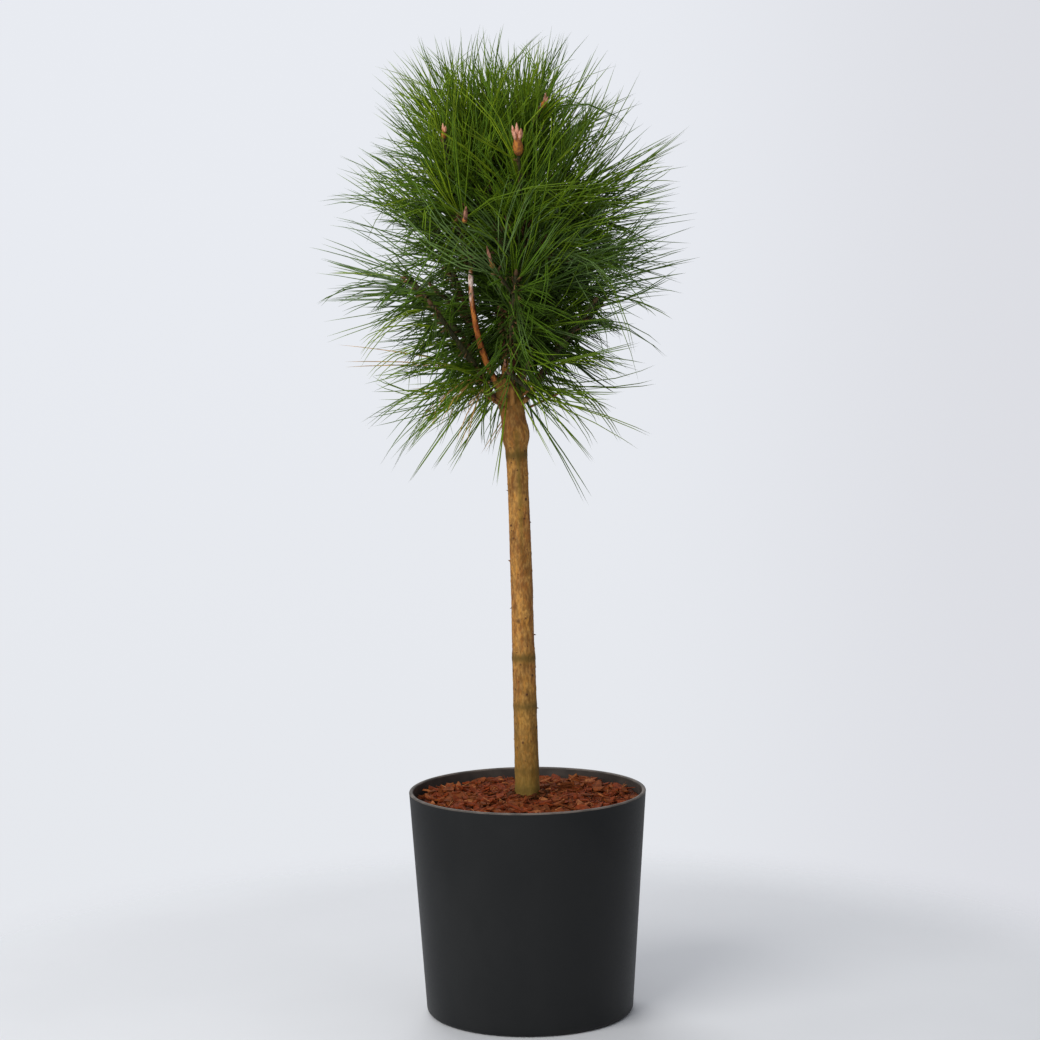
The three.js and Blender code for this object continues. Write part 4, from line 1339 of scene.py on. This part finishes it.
def joined(groups):
    """Several tuples of arrays as one tuple of long arrays."""
    return tuple(np.concatenate(arrays) for arrays in zip(*groups))


foot, axis, side, lean, share = joined([bundles_on(*group) for group in FOLIAGE])
foot_x, foot_y, foot_z = foot.T
BUNDLES = np.arange(len(foot))
old = share < 1
inner = np.where(old, 1, 1 - smooth_step(core_share(foot), 0.3, 0.8))
# Regions of the crown, each 1 inside it and 0 beyond.
below = falling(foot_z, 495, 600)
waist = smooth_step(foot_z, 565, 588) * falling(foot_z, 630, 655)
hips = smooth_step(foot_z, 510, 530) * falling(foot_z, 580, 605)
at_right = smooth_step(foot_x, 0, 45)
at_left = falling(foot_x, -60, -20)
lean = np.radians(lean + DICE.normal(0, 1, len(foot)) * mix(11, 20, inner))[:, None]
pull = mix(NEEDLE["pull"], NEEDLE["inner_pull"], inner * (1 - below))[:, None]
# The needles fan out from the middle, but flatter than straight away from it, above more than below.
fan = foot - NEEDLE["fan"]
fan[:, 2] *= np.where(fan[:, 2] > 0, *NEEDLE["flat"])
direction = side * np.sin(lean) + axis * np.cos(lean) + unit(fan) * pull
direction[:, 0] += 0.8 * waist * at_right - 0.5 * hips * at_left
direction[:, 2] -= 0.5 * hips * at_left + 0.9 * waist * at_right
# Those on top stand upright, and those in front of the bare bough part to its two sides.
direction[:, 2] += NEEDLE["upright"] * smooth_step(foot_z, 655, 705) * (1 - 0.5 * at_right)
t, aside = from_parted(foot)
close = np.exp(-((aside[:, 0] / 16) ** 2) - (1.4 * (t - 0.5)) ** 4) * (aside[:, 1] < 0)
direction[:, 0] += NEEDLE["parting"] * close * np.sign(aside[:, 0])
# Those in front lie across each other more than they point at the onlooker.
front = falling(foot_y, -55, -5) * ~old
towards = direction[:, 1] < 0
direction[:, 1] *= np.where(towards, mix(1, NEEDLE["front_depth"], front), 1)
direction[:, [0, 2]] += DICE.normal(0, NEEDLE["front_cross"], (len(foot), 2)) * front[:, None]
direction = unit(direction)
print("bundles:", len(foot))

# %% The needles of each bundle, as arcs that keep inside the crown
count = len(foot) * NEEDLE["bundle"]
bundle = np.repeat(BUNDLES, NEEDLE["bundle"])
aim = unit(direction[bundle] + DICE.normal(0, 0.07, (count, 3)))
flat = np.hypot(aim[:, 0], aim[:, 1])
sag = mix(0.08, 0.24, below[bundle]) * mix(0.3, 1.7, DICE.random(len(foot))[bundle]) * flat
curl = (np.where(chance(BUNDLES, 4, 6) < 0.3, 0.28, 0.14) + 0.16 * front)[bundle, None]
bend = DICE.normal(0, 1, (len(foot), 3))[bundle] * curl + DICE.normal(0, 0.045, (count, 3))
bend[:, 2] -= sag
long = NEEDLE["longest"] * (share * mix(0.86, 1, DICE.random(len(foot))))[bundle]
long = long * mix(0.95, 1, DICE.random(count))
# Few needles reach the outline, but most do at both sides of the waist and at the left of the hips.
filled = np.maximum(waist * at_right, np.maximum(hips, waist) * at_left)
rare = mix(NEEDLE["rare"], NEEDLE["common"], filled)
reach = mix(*NEEDLE["reach"], DICE.random(len(foot)) ** rare) + NEEDLE["low_reach"] * below
reach -= 0.07 * smooth_step(foot_z, 645, 690) * smooth_step(foot_x, -15, 25)
reach -= 0.02 * smooth_step(foot_z, 680, 710)
reach, stand = reach[bundle], foot[bundle]


def along_needle(s, keep=slice(None)):
    """Places on the needles: the foot, plus s times the length along the aim, plus s squared times the
    length along the bend."""
    s = np.asarray(s, float)[None, :, None]
    size = long[keep, None, None]
    return stand[keep, None] + size * (s * aim[keep, None] + s * s * bend[keep, None])


def stands_out(tips):
    """Whether tips lie beyond their reach, or further from the crown's axis than the widest place."""
    across = np.hypot(tips[:, 0] - CROWN["x"], tips[:, 1])
    return (crown_share(tips) > reach) | (across > NEEDLE["widest"])


for _ in range(10):
    long = np.where(stands_out(along_needle([1.0])[:, 0]), long - 4, long)
places = along_needle(np.linspace(0.1, 1, 10))
fits = (long > NEEDLE["shortest"] * share[bundle]) & ~stands_out(places[:, -1])
print("needles:", count, "inside the outline:", int(fits.sum()))

# %% Needles give way to the trunk, the parting and the candles
high = places[..., 2]
from_trunk = places - trunk_centre(np.clip(high, TRUNK["foot"], TRUNK["top"]))
bark = trunk_radius(np.minimum(high, TRUNK["top"])) + 0.6
in_trunk = (np.linalg.norm(from_trunk[..., :2], axis=-1) < bark) & (high < TRUNK["top"] + 2)
before_trunk = (np.abs(from_trunk[..., 0]) < 7) & (places[..., 1] < -6) & (high < TRUNK["top"] - 10)
hidden = np.zeros(high.shape, bool)
for leader in LEADERS:
    apart = places - np.array(leader["bud"])
    beside = (apart[..., 2] > -leader["clear"]) & (apart[..., 2] < leader["long"] + 2)
    hidden |= beside & (np.abs(apart[..., 0]) < leader["slot"]) & (apart[..., 1] < 3)
covers = (before_trunk | hidden).any(1) & (chance(bundle, 5, 9) >= NEEDLE["stray"])
clear = ~in_trunk.any(1) & ~in_parting(places).any(1) & ~covers

# %% The share of the bundles that is left: the crown is thinner low down and at places of its sides
THINNED = [  # how much is cut, and where
    (1.0, below * mix(0.62, 0.82, smooth_step(foot_x, -30, 10))),
    (0.50, falling(foot_z, 550, 600)),
    (0.82, smooth_step(foot_z, 510, 530) * falling(foot_z, 558, 582) * at_right),
    (0.50, falling(foot_z, 545, 565) * at_left),
    (0.38, smooth_step(foot_z, 565, 595) * at_left),
    (0.78, smooth_step(foot_z, 632, 662) * smooth_step(foot_x, -15, 25)),
    (0.40, hips * at_left),
    (0.15, below),
    (0.32, smooth_step(foot_x, 5, 40) * smooth_step(foot_z, 590, 612) * falling(foot_z, 665, 690)),
    (0.50, falling(foot_z, 535, 565) * falling(foot_x, -20, 10)),
]
OLD_THINNED = [(0.75, at_right * falling(foot_z, 570, 605)), (0.60, at_left * falling(foot_z, 565, 600))]
shares = ([1 - cut * region for cut, region in table] for table in (THINNED, OLD_THINNED))
left, old_left = (np.prod(share_left, axis=0) for share_left in shares)
left = np.where(old, smooth_step(foot_z, 518, 548) * old_left, left)
# Half are left along the slimmest bough and fewer round the trunk's head. None hang down far in front.
limb = bough_path(bared, 41)[16:]
at_limb = np.linalg.norm(foot[:, None] - limb[None], axis=2).min(1) < 4
left = np.where(at_limb & ~old, 0.5, left)
off_trunk = np.linalg.norm((foot - trunk_centre(foot_z))[:, :2], axis=1)
at_head = (foot_z > HEAD["from"] - 2) & (foot_z < HEAD["to"] + 2) & (off_trunk < HEAD["radius"] + 2)
left = np.where(at_head, 0.42, left)
hanging = (direction[:, 2] < -0.15) & (foot_y < -60) & (foot_z > 585)
shed = (chance(BUNDLES, 6, 2) > left) | hanging
keep = fits & ~shed[bundle] & clear
print("kept:", int(keep.sum()))

# %% Colours dealt out by bundle: by height, by how deep it stands and by chance, with painted light and shade
COLOURS = {
    "fresh": (0.210, 0.308, 0.011),
    "leaf": (0.134, 0.226, 0.009),
    "mid": (0.088, 0.172, 0.011),
    "deep": (0.046, 0.100, 0.009),
    "cool": (0.135, 0.225, 0.062),
    "dry": (0.550, 0.330, 0.100),
    "old": (0.044, 0.084, 0.009),
}
high = smooth_step(foot_z, 500, 720)
depth = crown_share(foot)
dice = chance(BUNDLES, 7, 3)
# Painted light and shade: a bundle is lighter the further out it stands, low down and at the lower sides, and
# darker at the very top and close in front of the bare bough. The rise with height stands for fresher growth
# on top, and the chance for needles that differ.
light = 0.34 * high + 0.80 * depth + 0.55 * dice + 0.26 * below - 0.3 * smooth_step(foot_z, 680, 720)
light += (0.20 * at_left + 0.14 * at_right) * falling(foot_z, 590, 630) - 0.3 * close
cool = (chance(BUNDLES, 8, 3) < 0.50) & (high < 0.5) & (below < 0.6) & (depth > 0.2)
dry = (chance(BUNDLES, 9, 3) < 0.12 * below**4 * (1 + at_right)) & (direction[:, 2] < 0.1)
kinds = {"old": old & (dice >= 0.35), "mid": old & (dice < 0.35), "dry": dry, "cool": cool}
names = list(COLOURS)
colour = np.select([light > 1.08, light > 0.80, light > 0.55], [0, 1, 2], 3)
colour = np.select(list(kinds.values()), [names.index(name) for name in kinds], colour)


NEEDLE_STEPS = [0, 0.01, 0.32, 0.62, 0.86, 1]
NEEDLE_GIRTH = np.array([0.85, 1.0, 0.88, 0.55])[None, :, None]
for index, (name, tint) in enumerate(COLOURS.items()):
    chosen = np.flatnonzero(keep & (colour[bundle] == index))
    paths = along_needle(NEEDLE_STEPS, chosen)
    girth = NEEDLE["radius"] * mix(0.85, 1.15, DICE.random(len(chosen)))[:, None, None]
    sideways = np.cross(aim[chosen], unit(DICE.normal(0, 1, (len(chosen), 3))))
    shape = tubes(paths, sideways, girth * NEEDLE_GIRTH * np.ones((1, 1, 3)))
    dark = tuple(0.68 * part for part in tint)
    waxy = plain_finish("needle_" + name, tint, dark, [90.0], "needle", 0.15)
    piece("needles_" + name, shape, waxy, MASS_NODES)

# %% The sheath that holds each bundle
kept = np.flatnonzero(keep.reshape(-1, NEEDLE["bundle"]).any(1))
steps = np.array([-0.5, 0.0, 5.0, 6.0])[None, :, None]
paths = foot[kept, None] + direction[kept, None] * steps
girth = np.array([1.05, 0.8])[None, :, None] * np.ones((len(kept), 1, 3))
sheaths = tubes(paths, np.cross(direction[kept], axis[kept]), girth)
sheath = bud_scales("sheath", (0.20, 0.110, 0.045), (0.10, 0.055, 0.025), 300.0)
piece("sheaths", sheaths, sheath)
